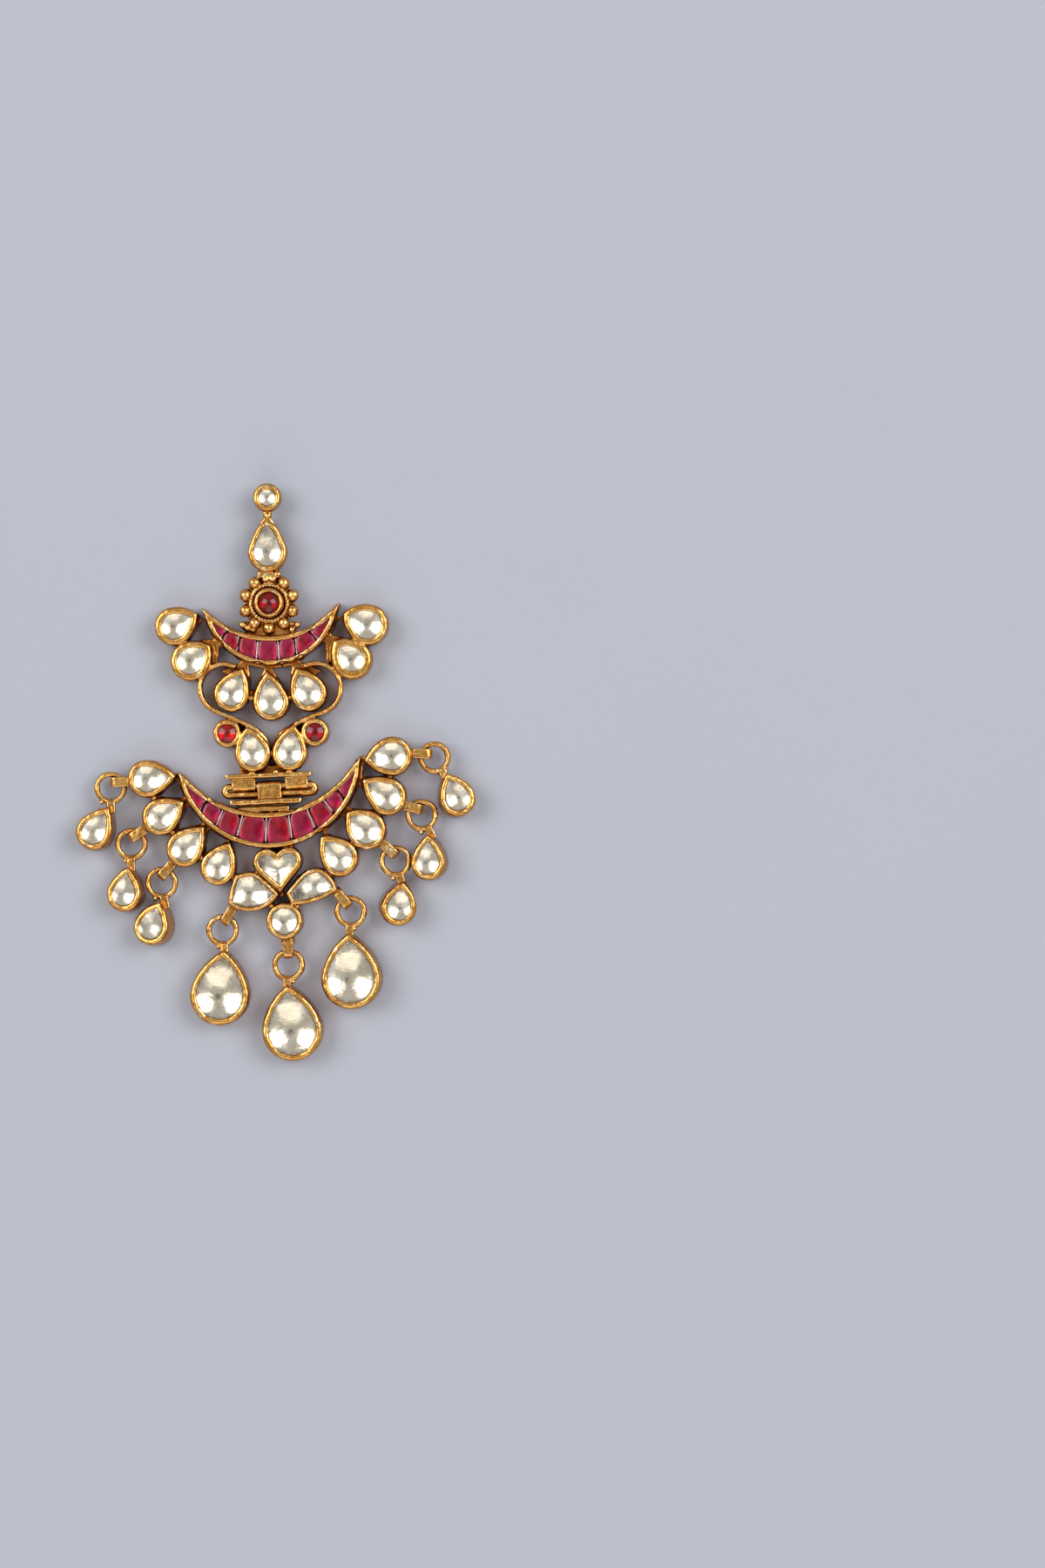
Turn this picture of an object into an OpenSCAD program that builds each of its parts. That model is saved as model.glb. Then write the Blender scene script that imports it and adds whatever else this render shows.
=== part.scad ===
// A hinged dangle earring of closed gold settings with flat clear stones and rubies,
// lying on its back. The origin is under the middle of the whole earring, and the ear end is at +Y.

/* [Settings] */
// Height of a setting, from its closed back to its rim
cup_h = 3.0; // [2.8:0.1:3.4]
// Width of the gold rim around a stone
rim_w = 0.45; // [0.35:0.05:0.5]
// Thickness of the closed back
back_t = 0.7; // [0.5:0.1:1]
// Height of the two settings and the flower above the ear post, at their backs
column_z = 1.7; // [1.7:0.05:1.8]
// Height of the rims above the ear post
column_top = 3.2; // [3.1:0.1:3.5]
// Thickness of the pierced sheet that joins the settings
gallery_t = 1.0; // [0.8:0.1:1.2]

/* [Stones] */
// Gap between a stone and its setting
seat_gap = 0.04; // [0.02:0.01:0.08]
// Height of a stone's crown above its rim
crown_h = 0.2; // [0.1:0.05:0.4]
// Depth of a stone's edge below its rim
edge_drop = 0.2; // [0.1:0.05:0.3]
// Width of the cut between two rubies of a row
row_cut_w = 0.1; // [0.06:0.02:0.16]
// Depth of that cut
row_cut_h = 0.9; // [0.5:0.1:1.4]

/* [Crescents] */
// Radius of the upper crescent's outer edge
upper_outer_r = 7.77; // [7.7:0.01:7.85]
// Radius of its inner edge
upper_inner_r = 10.1; // [10:0.05:10.2]
// Distance between the centres of these two edges
upper_rise = 5.53; // [5.4:0.01:5.65]
// Radius of the lower crescent's outer edge
lower_outer_r = 10.58; // [10.5:0.01:10.65]
// Radius of its inner edge
lower_inner_r = 12.1; // [12:0.05:12.2]
// Distance between the centres of these two edges
lower_rise = 5.42; // [5.3:0.01:5.5]

/* [Flower] */
// Radius of the flower's round setting
flower_r = 1.65; // [1.6:0.05:1.75]
// Radius of a granule around it
granule_r = 0.66; // [0.6:0.02:0.7]
// Radius of the circle on which the granules stand
granule_ring_r = 2.85; // [2.8:0.05:3]
// Number of places around that circle
granule_n = 10; // [10]

/* [Hinge] */
// Height of the hinge axis
axis_z = 1.6; // [1.5:0.05:1.7]
// Radius of the link's wire
link_r = 0.31; // [0.28:0.01:0.32]
// Distance between the two straight runs of the link
link_gap = 0.95; // [0.95:0.01:1]
// Gap between the link and the strips that wrap it
link_clear = 0.035; // [0.02:0.005:0.06]
// Thickness of those strips
strip_t = 0.21; // [0.18:0.01:0.22]
// Half depth of the hinge plates
plate_half = 1.1; // [0.9:0.05:1.1]

/* [Drops] */
// Radius of the wire of a drop's ring
ring_wire_r = 0.29; // [0.26:0.01:0.3]
// Outer radius of that ring
ring_r = 1.87; // [1.85:0.01:1.92]
// Height of the rings and of the loops that hold them
ring_z = 1.6; // [1.5:0.05:1.7]
// Width of a loop's strip
bail_w = 1.05; // [0.9:0.05:1.1]
// Length of a loop, with the part inside its setting
bail_l = 2.6; // [2.5:0.05:2.7]
// Free height inside a loop
bail_slot = 0.76; // [0.7:0.02:0.8]
// Thickness of a loop's strip
bail_t = 0.24; // [0.2:0.02:0.26]

/* [Ear post] */
// Radius of the post
post_r = 0.4; // [0.35:0.01:0.42]
// Height of its axis
post_z = 0.65; // [0.62:0.01:0.68]
// Place of its free end, along Y
post_end = 29.4; // [28:0.1:30]

/* [Hidden] */
$fn = 72;
little = 0.02;
deep = 20;

// Columns of the tables of settings: place, radius of the round end, distance from its centre to
// the point, and the direction in which the point lies
X = 0;
Y = 1;
R = 2;
REACH = 3;
TURN = 4;
// Further columns of a drop: lean about its long axis, place of its ring, and far end and direction
// of the loop that holds the ring
LEAN = 5;
RING_X = 6;
RING_Y = 7;
BAIL_X = 8;
BAIL_Y = 9;
BAIL_TURN = 10;

TOP = [
    [-1.00, 31.55, 1.60, 0.00, 90],
    [-0.95, 25.25, 2.25, 4.40, 90.6],
];
UPPER_SIDE = [
    [-11.70, 16.75, 2.20, 3.09, 27],
    [-9.85, 12.75, 2.25, 3.00, 37],
    [8.75, 12.95, 2.30, 3.04, 134],
    [10.55, 16.95, 2.35, 3.11, 156],
];
UPPER_MIDDLE = [
    [-5.10, 9.00, 2.05, 3.22, 66],
    [-0.55, 8.05, 2.10, 3.58, 98],
    [3.80, 9.10, 2.10, 3.24, 118.5],
];
SMALL_RUBY = [
    [-5.60, 4.45, 1.60, 0.00, 90],
    [4.50, 4.60, 1.60, 0.00, 90],
];
UPPER_BOTTOM = [
    [-2.65, 2.15, 2.10, 3.18, 103],
    [1.60, 2.25, 2.05, 3.33, 82],
];
FAN_LEFT = [
    [-14.85, -0.75, 2.15, 3.41, 5],
    [-13.25, -5.15, 2.12, 3.22, 33],
    [-10.50, -8.80, 2.10, 3.43, 48],
    [-6.65, -10.95, 2.05, 3.22, 64],
];
FAN_RIGHT = [
    [13.40, 1.85, 2.25, 3.29, 189],
    [12.85, -2.80, 2.17, 3.54, 146.5],
    [10.45, -6.65, 2.25, 3.11, 137.5],
    [7.35, -9.85, 2.15, 3.33, 131],
];
LOWER_ROUND = [1.00, -17.10, 2.07, 0.00, 90];
DROP_LEFT = [
    [-20.79, -6.95, 2.05, 3.34, 58, -3, -19.10, -1.80, -19.15, -1.20, 184],
    [-17.15, -14.05, 2.00, 3.20, 82, -6, -16.70, -8.30, -16.93, -7.73, 213],
    [-13.80, -17.95, 2.05, 3.05, 71, -11, -13.20, -12.75, -13.45, -12.20, 228],
];
DROP_RIGHT = [
    [20.60, -3.15, 2.05, 3.15, 114, 7, 18.20, 1.70, 17.95, 2.10, 358],
    [17.79, -10.40, 1.98, 3.30, 90, -6, 16.75, -4.95, 16.88, -4.35, 346],
    [13.80, -15.50, 2.05, 3.05, 79, 7, 13.73, -10.25, 13.85, -9.65, 317],
];
DROP_BOTTOM = [
    [-6.45, -25.65, 3.40, 5.22, 84.5, 0, -6.20, -18.20, -6.14, -17.52, 238],
    [1.90, -29.70, 3.45, 5.30, 97, 0, 1.40, -22.20, 1.35, -21.42, 270],
    [8.80, -23.75, 3.42, 5.26, 94, -3, 8.55, -16.05, 8.40, -15.50, 309],
];

// Place and turn of each crescent, at the centre of its outer edge, and the height of its horns' ends
UPPER_CRESCENT = [-0.65, 20.12, 2];
LOWER_CRESCENT = [-0.85, 1.95, 4.8];
upper_horn_y = -1.1;
lower_horn_y = -1.3;
// Cuts between the rubies: direction of the middle of the cut from straight down, and its lean
UPPER_CUTS = [[-54, -37], [-37, -8], [-16, -5], [7, 3], [26, 5], [47, 39]];
LOWER_CUTS = [
    [-58, -27], [-43, -23], [-27, -15], [-6.5, -2],
    [12, 9], [29.5, 23], [45, 39], [58.5, 35],
];
// Distance of the middle of a cut from the crescent's outer edge, and half of the cut's length
cut_inset = 1.6;
cut_half = 3;

// Heart: place and turn, half distance and radius of its lobes, and depth of its point
HEART = [0.20, -10.25, 5];
lobe_x = 1.26;
lobe_r = 1.56;
heart_depth = 3.64;
notch_drop = 0.05;
// Four or five corners of the leaves, anticlockwise, and how far the side after each one bulges
LEAF_LEFT = [[-5.45, -15.15], [0.40, -14.00], [-2.45, -11.40], [-4.63, -11.80]];
LEAF_LEFT_BULGE = [1.35, 0.08, 0.08, 0.18];
LEAF_RIGHT = [[7.05, -13.55], [4.75, -10.95], [3.35, -11.35], [1.15, -13.90], [1.80, -15.25]];
LEAF_RIGHT_BULGE = [0.48, 0.04, 0.06, 0.03, 0.45];
// Tops of the stones in the heart and the leaves, and half the width that their domes span
HEART_CROWN = [0.20, -10.85];
heart_half = 2.0;
LEAF_LEFT_CROWN = [-3.3, -13.6];
LEAF_RIGHT_CROWN = [3.9, -13.3];
leaf_half = 1.9;

// Drop outline: direction in which its sides leave the round end, and flats of a ground stone
shoulder = 18;
side_flats = 6;
round_flats = 14;
// A stone's crown lies a little towards its point, as a share of its length
crown_shift = 0.15;

// Pierced sheets: height of their back, radius of their outer edge, bite into the crescent, the
// least width of sheet left beside it, and size of a window against the room for it
gallery_z = 0.4;
upper_gallery_r = 10.2;
lower_gallery_r = 13.6;
gallery_bite = 0.2;
gallery_edge = 0.15;
window_size = 0.78;

// Posts of solder between neighbours
solder_r = 0.36;
thin_solder_r = 0.3;
solder_drop = 0.7;
LOWER_SOLDER = [
    [-1.2, -8.6], [1.7, -8.5], [-4.85, -12.2], [6.3, -11.7], [-1.2, -12.9],
    [2.7, -12.2], [-0.6, -15.3], [2.5, -15.3], [0.55, -13.95],
];

// Scrolls: centre and radius of the arc, its first and last direction, and the run of its tail
SCROLL_FROM = 3;
SCROLL_TO = 4;
SCROLLS = [[-5.95, 9.65, 2.80, 62, 235], [4.55, 9.65, 2.90, 118, -72]];
SCROLL_TAILS = [
    [[-7.56, 7.36], [-6.20, 6.72], [-4.30, 5.92], [-2.35, 4.92], [-1.20, 3.80], [-0.85, 2.90]],
    [[5.45, 6.89], [4.60, 6.62], [3.20, 6.00], [1.80, 5.25], [0.55, 4.35], [-0.15, 2.90]],
];
scroll_w = 0.4;
scroll_z = 0.3;
scroll_top = 2.6;

// Flower: its place, its plate, the wire ring around its setting, and the top of its ruby
FLOWER = [-0.80, 19.45];
plate_r = 2.5;
plate_t = 0.6;
flower_rise = 0.2;
wire_ring_r = 2.1;
wire_ring_z = 2.4;
wire_r = 0.2;
ruby_top = 3.75;
ruby_dome = 0.7;
// Beads above the flower and at its lower corners: place, radius and height
BEAD_Z = 3;
FLOWER_BEADS = [
    [-1.15, 22.20, 0.38, 2.15],
    [-0.45, 22.20, 0.38, 2.15],
    [-3.85, 16.95, 0.36, 2.20],
    [-3.25, 16.60, 0.36, 2.20],
    [-2.65, 16.40, 0.36, 2.20],
    [1.85, 16.40, 0.36, 2.20],
    [2.45, 16.95, 0.36, 2.20],
];
// Sheet between the flower and the crescent
skirt_outer_r = 4.25;
skirt_inner_r = 2.4;
skirt_y = 17.3;
skirt_z = 1.2;
skirt_top = 2.1;

// Columns of a bar or plate: its run along X, its run along Y, its low face and its high face
FROM = 0;
TO = 1;
NEAR = 2;
FAR = 3;
LOW = 4;
HIGH = 5;
COLUMN_BARS = [
    [-1.40, -0.50, 21.60, 23.40, column_z, 2.5],
    [-2.10, 0.30, 22.40, 22.95, column_z, 2.7],
    [-1.45, -0.55, 29.30, 30.40, column_z, 2.7],
    [-2.00, 0.40, 15.20, 18.40, 0.6, 2.1],
];
// Hinge: its place and turn, and in its own frame its knuckles and plates
HINGE = [-0.75, -1.55];
hinge_turn = 2.5;
UPPER_KNUCKLES = [[-4.35, -1.65], [1.80, 4.40]];
CENTRE_KNUCKLE = [-1.40, 1.30];
UPPER_PLATES = [
    [-5.00, 4.85, 1.00, 1.45, -plate_half, plate_half],
    [-3.40, 3.00, 1.30, 2.30, -1.2, -0.3],
];
LOWER_PLATES = [
    [-4.60, 3.60, -2.05, -1.55, -plate_half, plate_half],
    [-3.60, 1.90, -2.50, -1.90, -0.7, 0.6],
    [-3.90, 2.10, -2.90, -2.40, -1.0, 1.0],
    [-3.10, 1.40, -3.80, -2.80, -1.0, 0.6],
];
knuckle_root = 1.1;
HINGE_BEADS = [[-1.9, 1.55, 0.32, 0.8], [0.8, 1.55, 0.32, 0.8], [2.3, 1.55, 0.32, 0.8]];
link_half = 5.5;

// Collar under the lower round setting, and the beads on it
COLLAR = [0.60, 2.10, -19.75, -18.90, 0.95, 2.25];
COLLAR_BEADS = [[0.95, -19.25, 0.3, 2.2], [1.75, -19.25, 0.3, 2.2]];
// Neck between a drop and its ring: half its thickness, and how far it runs into the drop
neck_half = 0.43;
neck_bite = 0.55;

// Ear post: its place along X, the start and half width of its square tang, and the lug that holds it
post_x = -0.9;
tang_start = 18.6;
tang_half = 0.27;
tang_gap = 0.02;
LUG = [post_x - 0.75, post_x + 0.75, 18, 19.9, 0, column_z + 0.1];

function at(row) = [row[X], row[Y]];
function aim(turn) = [cos(turn), sin(turn)];
function tip(row) = at(row) + row[REACH] * aim(row[TURN]);
// Point half way between the round ends of two settings
function touch(a, b) = let (d = at(b) - at(a), gap = norm(d) - a[R] - b[R])
    at(a) + d * (a[R] + gap / 2) / norm(d);
// Circle through p and q that bulges to the right of the way from p to q
function bulge_r(p, q, bulge) = (norm(q - p) * norm(q - p) / 4 + bulge * bulge) / (2 * bulge);
function bulge_c(p, q, bulge) = let (d = q - p, side = [d[1], -d[0]] / norm(d))
    (p + q) / 2 + side * (bulge - bulge_r(p, q, bulge));
// Distance from the middle of a drop's round end to the centre of a side arc
function side_c(r, reach) = (reach * reach - r * r) / (2 * (r - reach * sin(shoulder)));
// Radius of the ball whose cap is a dome of this height over this half width
function dome_r(half, dome) = (half * half + dome * dome) / (2 * dome);

// Drop outline with its point at +Y: a round end and two side arcs that leave it at the shoulder
module pear(r, reach, inset = 0) {
    c = side_c(r, reach);
    circle(r - inset);
    intersection() {
        translate(-c * [cos(shoulder), sin(shoulder)]) circle(c + r - inset);
        translate(c * [cos(shoulder), -sin(shoulder)]) circle(c + r - inset);
        translate([-r, (r - inset) * sin(shoulder)]) square([2 * r, reach]);
    }
}

// The same outline in short flats, as a stone is ground
module ground_pear(r, reach, inset) {
    c = side_c(r, reach);
    side_r = c + r - inset;
    tip_turn = acos(c * cos(shoulder) / side_r);
    side = [for (i = [0 : side_flats - 1])
        side_r * aim(shoulder + (tip_turn - shoulder) * i / side_flats) - c * aim(shoulder)];
    point = [0, side_r * sin(tip_turn) - c * sin(shoulder)];
    other = [for (i = [side_flats - 1 : -1 : 0]) [-side[i][0], side[i][1]]];
    round_end = [for (i = [1 : round_flats - 1])
        (r - inset) * aim(180 - shoulder + (180 + 2 * shoulder) * i / round_flats)];
    polygon(concat(side, [point], other, round_end));
}

module outline(row, inset = 0)
    translate(at(row)) rotate(row[TURN] - 90)
        if (row[REACH] > 0) pear(row[R], row[REACH], inset);
        else circle(row[R] - inset);

// Crescent with its horns up, around the centre of its outer edge
module crescent(place, outer_r, inner_r, rise, horn_y, inset = 0)
    translate(at(place)) rotate(place[2]) difference() {
        circle(outer_r - inset);
        translate([0, rise]) circle(inner_r + inset);
        translate([-outer_r, horn_y]) square([2 * outer_r, outer_r]);
    }

// Width of a crescent's rim around its rubies
row_rim_w = 0.35;

module upper_crescent(inset = 0)
    crescent(UPPER_CRESCENT, upper_outer_r, upper_inner_r, upper_rise, upper_horn_y, inset);

module lower_crescent(inset = 0)
    crescent(LOWER_CRESCENT, lower_outer_r, lower_inner_r, lower_rise, lower_horn_y, inset);

module heart(inset = 0) {
    r = lobe_r - inset;
    flank = atan(lobe_x / heart_depth) + asin(lobe_r / norm([lobe_x, heart_depth]));
    point = [0, inset / sin(flank) - heart_depth];
    contact = [lobe_x + r * cos(flank), -r * sin(flank)];
    notch = [0, sqrt(lobe_r * lobe_r - lobe_x * lobe_x) - notch_drop - inset];
    translate(at(HEART)) rotate(HEART[2]) {
        for (side = [-1, 1]) translate([side * lobe_x, 0]) circle(r);
        polygon([[-lobe_x, 0], [-contact[0], contact[1]], point, contact, [lobe_x, 0], notch]);
    }
}

module leaf(corners, bulges, inset = 0) {
    last = len(corners) - 1;
    intersection() {
        bulged_side(corners[0], corners[1], bulges[0], inset);
        bulged_side(corners[1], corners[2], bulges[1], inset);
        bulged_side(corners[2], corners[3], bulges[2], inset);
        bulged_side(corners[last - 1], corners[last], bulges[last - 1], inset);
        bulged_side(corners[last], corners[0], bulges[last], inset);
    }
}

module bulged_side(p, q, bulge, inset)
    translate(bulge_c(p, q, bulge)) circle(bulge_r(p, q, bulge) - inset, $fn = 144);

// Solid between two heights, from an outline
module slab(bottom, top) translate([0, 0, bottom]) linear_extrude(top - bottom) children();

// Bar or plate, from a row of a table
module bar(row)
    translate([row[FROM], row[NEAR], row[LOW]])
        cube([row[TO] - row[FROM], row[FAR] - row[NEAR], row[HIGH] - row[LOW]]);

// Cushion of stone: an outline cut by a large ball, whose crown stands over the rim
module cushion(place, half, bottom, rim) {
    ball_r = dome_r(half, crown_h + edge_drop);
    intersection() {
        slab(bottom + seat_gap, rim + 1) children();
        translate([place[0], place[1], rim + crown_h - ball_r])
            rotate([90, 0, 0]) sphere(ball_r, $fn = 144);
    }
}

module stone(row, bottom = back_t, rim = cup_h) {
    inset = rim_w + seat_gap;
    crown_at = at(row) + crown_shift * row[REACH] * aim(row[TURN]);
    cushion(crown_at, row[R] - inset, bottom, rim)
        translate(at(row)) rotate(row[TURN] - 90)
            if (row[REACH] > 0) ground_pear(row[R], row[REACH], inset);
            else circle(row[R] - inset);
}

module clear_stone(row) color("gainsboro") stone(row);

module ruby(row) color("crimson") stone(row);

// Row of rubies in a crescent: the channel's own form, cut into stones
module ruby_row(place, outer_r, cuts) {
    difference() {
        slab(back_t + seat_gap, cup_h) children();
        for (cut = cuts)
            translate(at(place) + (outer_r - cut_inset) * aim(cut[0] + place[2] - 90))
                rotate(cut[1])
                    translate([-row_cut_w / 2, -cut_half, cup_h - row_cut_h])
                        cube([row_cut_w, 2 * cut_half, deep]);
    }
}

// Sheet between a crescent and the settings around it, with a window between each two of them
module gallery_sheet(rows, centre, inner_r, outer_r) {
    slab(gallery_z, gallery_z + gallery_t) difference() {
        intersection() {
            translate(centre) difference() {
                circle(outer_r);
                circle(inner_r);
            }
            fan_of(rows, centre);
        }
        for (i = [0 : len(rows) - 2])
            window(rows[i], rows[i + 1], centre, inner_r + gallery_bite + gallery_edge);
    }
}

// Area from a centre out to the settings of a group
module fan_of(rows, centre)
    for (i = [0 : len(rows) - 2]) polygon([centre, at(rows[i]), at(rows[i + 1])]);

// Point at a distance from a centre, in the direction of the tip of a setting
function beside(row, centre, r) = centre + r * (tip(row) - centre) / norm(tip(row) - centre);

module window(a, b, centre, r) {
    corners = [beside(a, centre, r), beside(b, centre, r), touch(a, b)];
    middle = (corners[0] + corners[1] + corners[2]) / 3;
    polygon([for (corner = corners) middle + window_size * (corner - middle)]);
}

module bead(row) translate([row[X], row[Y], row[BEAD_Z]]) sphere(row[R]);

// Post of solder between two neighbours
module seam(place, r = solder_r) {
    slab(gallery_z, cup_h - solder_drop) translate(place) circle(r);
    bead([place[0], place[1], r, cup_h - solder_drop]);
}

module seams(rows) for (i = [0 : len(rows) - 2]) seam(touch(rows[i], rows[i + 1]));

// Scroll of strip standing on edge: an arc, then straight runs from the arc's end
module scroll(row, tail)
    slab(scroll_z, scroll_top) {
        translate(at(row)) intersection() {
            difference() {
                circle(row[R] + scroll_w / 2);
                circle(row[R] - scroll_w / 2);
            }
            sector(2 * row[R], row[SCROLL_FROM], row[SCROLL_TO]);
        }
        for (i = [0 : len(tail) - 2]) strip_run(tail[i], tail[i + 1]);
    }

module strip_run(from, to) {
    translate(from) rotate(atan2(to[Y] - from[Y], to[X] - from[X]))
        translate([0, -scroll_w / 2]) square([norm(to - from), scroll_w]);
    translate(to) circle(scroll_w / 2);
}

// Wedge from the origin between two directions, in four steps
module sector(r, from, to)
    polygon(concat([[0, 0]], [for (i = [0 : 4]) r * aim(from + (to - from) * i / 4)]));

module at_hinge() translate([HINGE[0], HINGE[1], axis_z]) rotate(hinge_turn) children();

module rod(x0, x1, r) translate([x0, 0, 0]) rotate([0, 90, 0]) cylinder(h = x1 - x0, r = r);

// Knuckle of the upper plate: a strip wrapped around the link's upper run
module upper_knuckle(span) {
    outer = link_r + link_clear + strip_t;
    rod(span[0], span[1], outer);
    bar([span[0], span[1], 0, knuckle_root, -outer, outer]);
}

module upper_hinge() {
    for (span = UPPER_KNUCKLES) upper_knuckle(span);
    for (row = UPPER_PLATES) bar(row);
    for (row = HINGE_BEADS) bead(row);
}

// Centre knuckle, which wraps both runs, and the plates that join it to the lower crescent
module lower_hinge() {
    outer = link_r + link_clear + strip_t;
    start = CENTRE_KNUCKLE[0];
    end = CENTRE_KNUCKLE[1];
    rod(start, end, outer);
    translate([0, -link_gap, 0]) rod(start, end, outer);
    bar([start, end, LOWER_PLATES[0][FAR] - little, 0, -outer, outer]);
    for (row = LOWER_PLATES) bar(row);
}

// Way through the centre knuckle for the whole link
module centre_slot() {
    r = link_r + link_clear;
    start = CENTRE_KNUCKLE[0] - 1;
    end = CENTRE_KNUCKLE[1] + 1;
    rod(start, end, r);
    translate([0, -link_gap, 0]) rod(start, end, r);
    bar([start, end, -link_gap, 0, -r, r]);
}

module flower() {
    translate(FLOWER) {
        slab(column_z, column_z + plate_t) circle(plate_r);
        slab(column_z, column_top + flower_rise) circle(flower_r);
        translate([0, 0, wire_ring_z]) rotate_extrude() translate([wire_ring_r, 0]) circle(wire_r);
        for (i = [1 : granule_n - 1])
            rotate(90 + 360 * i / granule_n)
                bead([granule_ring_r, 0, granule_r, column_z + granule_r]);
    }
    for (row = FLOWER_BEADS) bead(row);
}

// Sheet that joins the flower to the crescent, around the flower's lower half
module skirt()
    slab(skirt_z, skirt_top) difference() {
        translate(FLOWER) circle(skirt_outer_r);
        translate([FLOWER[0] - 2 * skirt_outer_r, skirt_y]) square(4 * skirt_outer_r);
        translate(FLOWER) circle(skirt_inner_r);
    }

// Square bar along the axis of the ear post
module tang(half, start, end)
    translate([post_x - half, start, post_z - half]) cube([2 * half, end - start, 2 * half]);

UPPER_CUPS = concat(UPPER_SIDE, UPPER_MIDDLE, SMALL_RUBY, UPPER_BOTTOM);
UPPER_FAN = [UPPER_SIDE[0], UPPER_SIDE[1], UPPER_MIDDLE[0], UPPER_MIDDLE[1], UPPER_MIDDLE[2],
    UPPER_SIDE[2], UPPER_SIDE[3]];
LOWER_CUPS = concat(FAN_LEFT, FAN_RIGHT, [LOWER_ROUND]);

module upper_frame() color("goldenrod") difference() {
    union() {
        for (row = UPPER_CUPS) slab(0, cup_h) outline(row);
        for (row = TOP) slab(column_z, column_top) outline(row);
        slab(0, cup_h) upper_crescent();
        gallery_sheet(UPPER_FAN, at(UPPER_CRESCENT), upper_outer_r - gallery_bite, upper_gallery_r);
        seams(UPPER_MIDDLE);
        seams(UPPER_BOTTOM);
        for (i = [0, 1]) seam(touch(SMALL_RUBY[i], UPPER_BOTTOM[i]), thin_solder_r);
        for (i = [0, 1]) scroll(SCROLLS[i], SCROLL_TAILS[i]);
        flower();
        skirt();
        for (row = COLUMN_BARS) bar(row);
        bar(LUG);
        at_hinge() upper_hinge();
    }
    for (row = UPPER_CUPS) slab(back_t, deep) outline(row, rim_w);
    for (row = TOP) slab(column_z + plate_t, deep) outline(row, rim_w);
    slab(back_t, deep) upper_crescent(row_rim_w);
    slab(column_z + plate_t, deep) translate(FLOWER) circle(flower_r - rim_w + seat_gap);
    at_hinge() rod(-deep, deep, link_r + link_clear);
    tang(tang_half + tang_gap, tang_start - tang_gap, deep);
}

// Post with a round end, and a square tang that sits in its lug
module ear_post() color("goldenrod") {
    shaft_start = LUG[FAR] + tang_gap;
    shaft_end = post_end - post_r;
    tang(tang_half, tang_start, shaft_start + little);
    translate([post_x, 0, post_z]) rotate([-90, 0, 0]) {
        translate([0, 0, shaft_start]) cylinder(h = shaft_end - shaft_start, r = post_r);
        translate([0, 0, shaft_end]) sphere(post_r);
    }
}

module top_stone(i) color("gainsboro") stone(TOP[i], column_z + plate_t, column_top);

module flower_ruby() color("crimson") {
    half = flower_r - rim_w;
    ball_r = dome_r(half, ruby_dome);
    intersection() {
        slab(column_z + plate_t + seat_gap, deep) translate(FLOWER) circle(half);
        translate([FLOWER[0], FLOWER[1], ruby_top - ball_r]) rotate([90, 0, 0]) sphere(ball_r);
    }
}

module upper_ruby_row() color("crimson")
    ruby_row(UPPER_CRESCENT, upper_outer_r, UPPER_CUTS) upper_crescent(row_rim_w + seat_gap);

module lower_ruby_row() color("crimson")
    ruby_row(LOWER_CRESCENT, lower_outer_r, LOWER_CUTS) lower_crescent(row_rim_w + seat_gap);

// Round-ended outline along X, from the origin back to -length
module round_bar(length, r) {
    translate([-length + r, 0]) circle(r);
    translate([-r, 0]) circle(r);
    translate([-length + r, -r]) square([length - 2 * r, 2 * r]);
}

// Loop of strip that holds a drop's ring, with its far end at the place in the table
module bail(row)
    translate([row[BAIL_X], row[BAIL_Y], ring_z]) rotate([90, 0, row[BAIL_TURN]])
        translate([0, 0, -bail_w / 2]) linear_extrude(bail_w) difference() {
            round_bar(bail_l, bail_slot / 2 + bail_t);
            translate([-bail_t, 0]) round_bar(bail_l - 2 * bail_t, bail_slot / 2);
        }

module lower_frame() color("goldenrod") difference() {
    union() {
        for (row = LOWER_CUPS) slab(0, cup_h) outline(row);
        slab(0, cup_h) lower_crescent();
        slab(0, cup_h) heart();
        slab(0, cup_h) leaf(LEAF_LEFT, LEAF_LEFT_BULGE);
        slab(0, cup_h) leaf(LEAF_RIGHT, LEAF_RIGHT_BULGE);
        for (rows = [FAN_LEFT, FAN_RIGHT]) {
            gallery_sheet(rows, at(LOWER_CRESCENT), lower_outer_r - gallery_bite, lower_gallery_r);
            seams(rows);
        }
        for (place = LOWER_SOLDER) seam(place);
        for (row = concat(DROP_LEFT, DROP_RIGHT, DROP_BOTTOM)) bail(row);
        bar(COLLAR);
        for (row = COLLAR_BEADS) bead(row);
        at_hinge() lower_hinge();
    }
    for (row = LOWER_CUPS) slab(back_t, deep) outline(row, rim_w);
    slab(back_t, deep) lower_crescent(row_rim_w);
    slab(back_t, deep) heart(rim_w);
    slab(back_t, deep) leaf(LEAF_LEFT, LEAF_LEFT_BULGE, rim_w);
    slab(back_t, deep) leaf(LEAF_RIGHT, LEAF_RIGHT_BULGE, rim_w);
    at_hinge() centre_slot();
}

// Oblong link of wire: two straight runs and two half rings
module hinge_link() color("goldenrod") at_hinge() {
    half = link_half - link_r - link_gap / 2;
    rod(-half, half, link_r);
    translate([0, -link_gap, 0]) rod(-half, half, link_r);
    for (side = [-1, 1])
        intersection() {
            translate([side * half, -link_gap / 2, 0])
                rotate_extrude() translate([link_gap / 2, 0]) circle(link_r);
            translate([side * (half + 2), 0, 0]) cube(4, center = true);
        }
}

module heart_stone() color("gainsboro")
    cushion(HEART_CROWN, heart_half, back_t, cup_h) heart(rim_w + seat_gap);

module leaf_stone_left() color("gainsboro")
    cushion(LEAF_LEFT_CROWN, leaf_half, back_t, cup_h)
        leaf(LEAF_LEFT, LEAF_LEFT_BULGE, rim_w + seat_gap);

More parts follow.
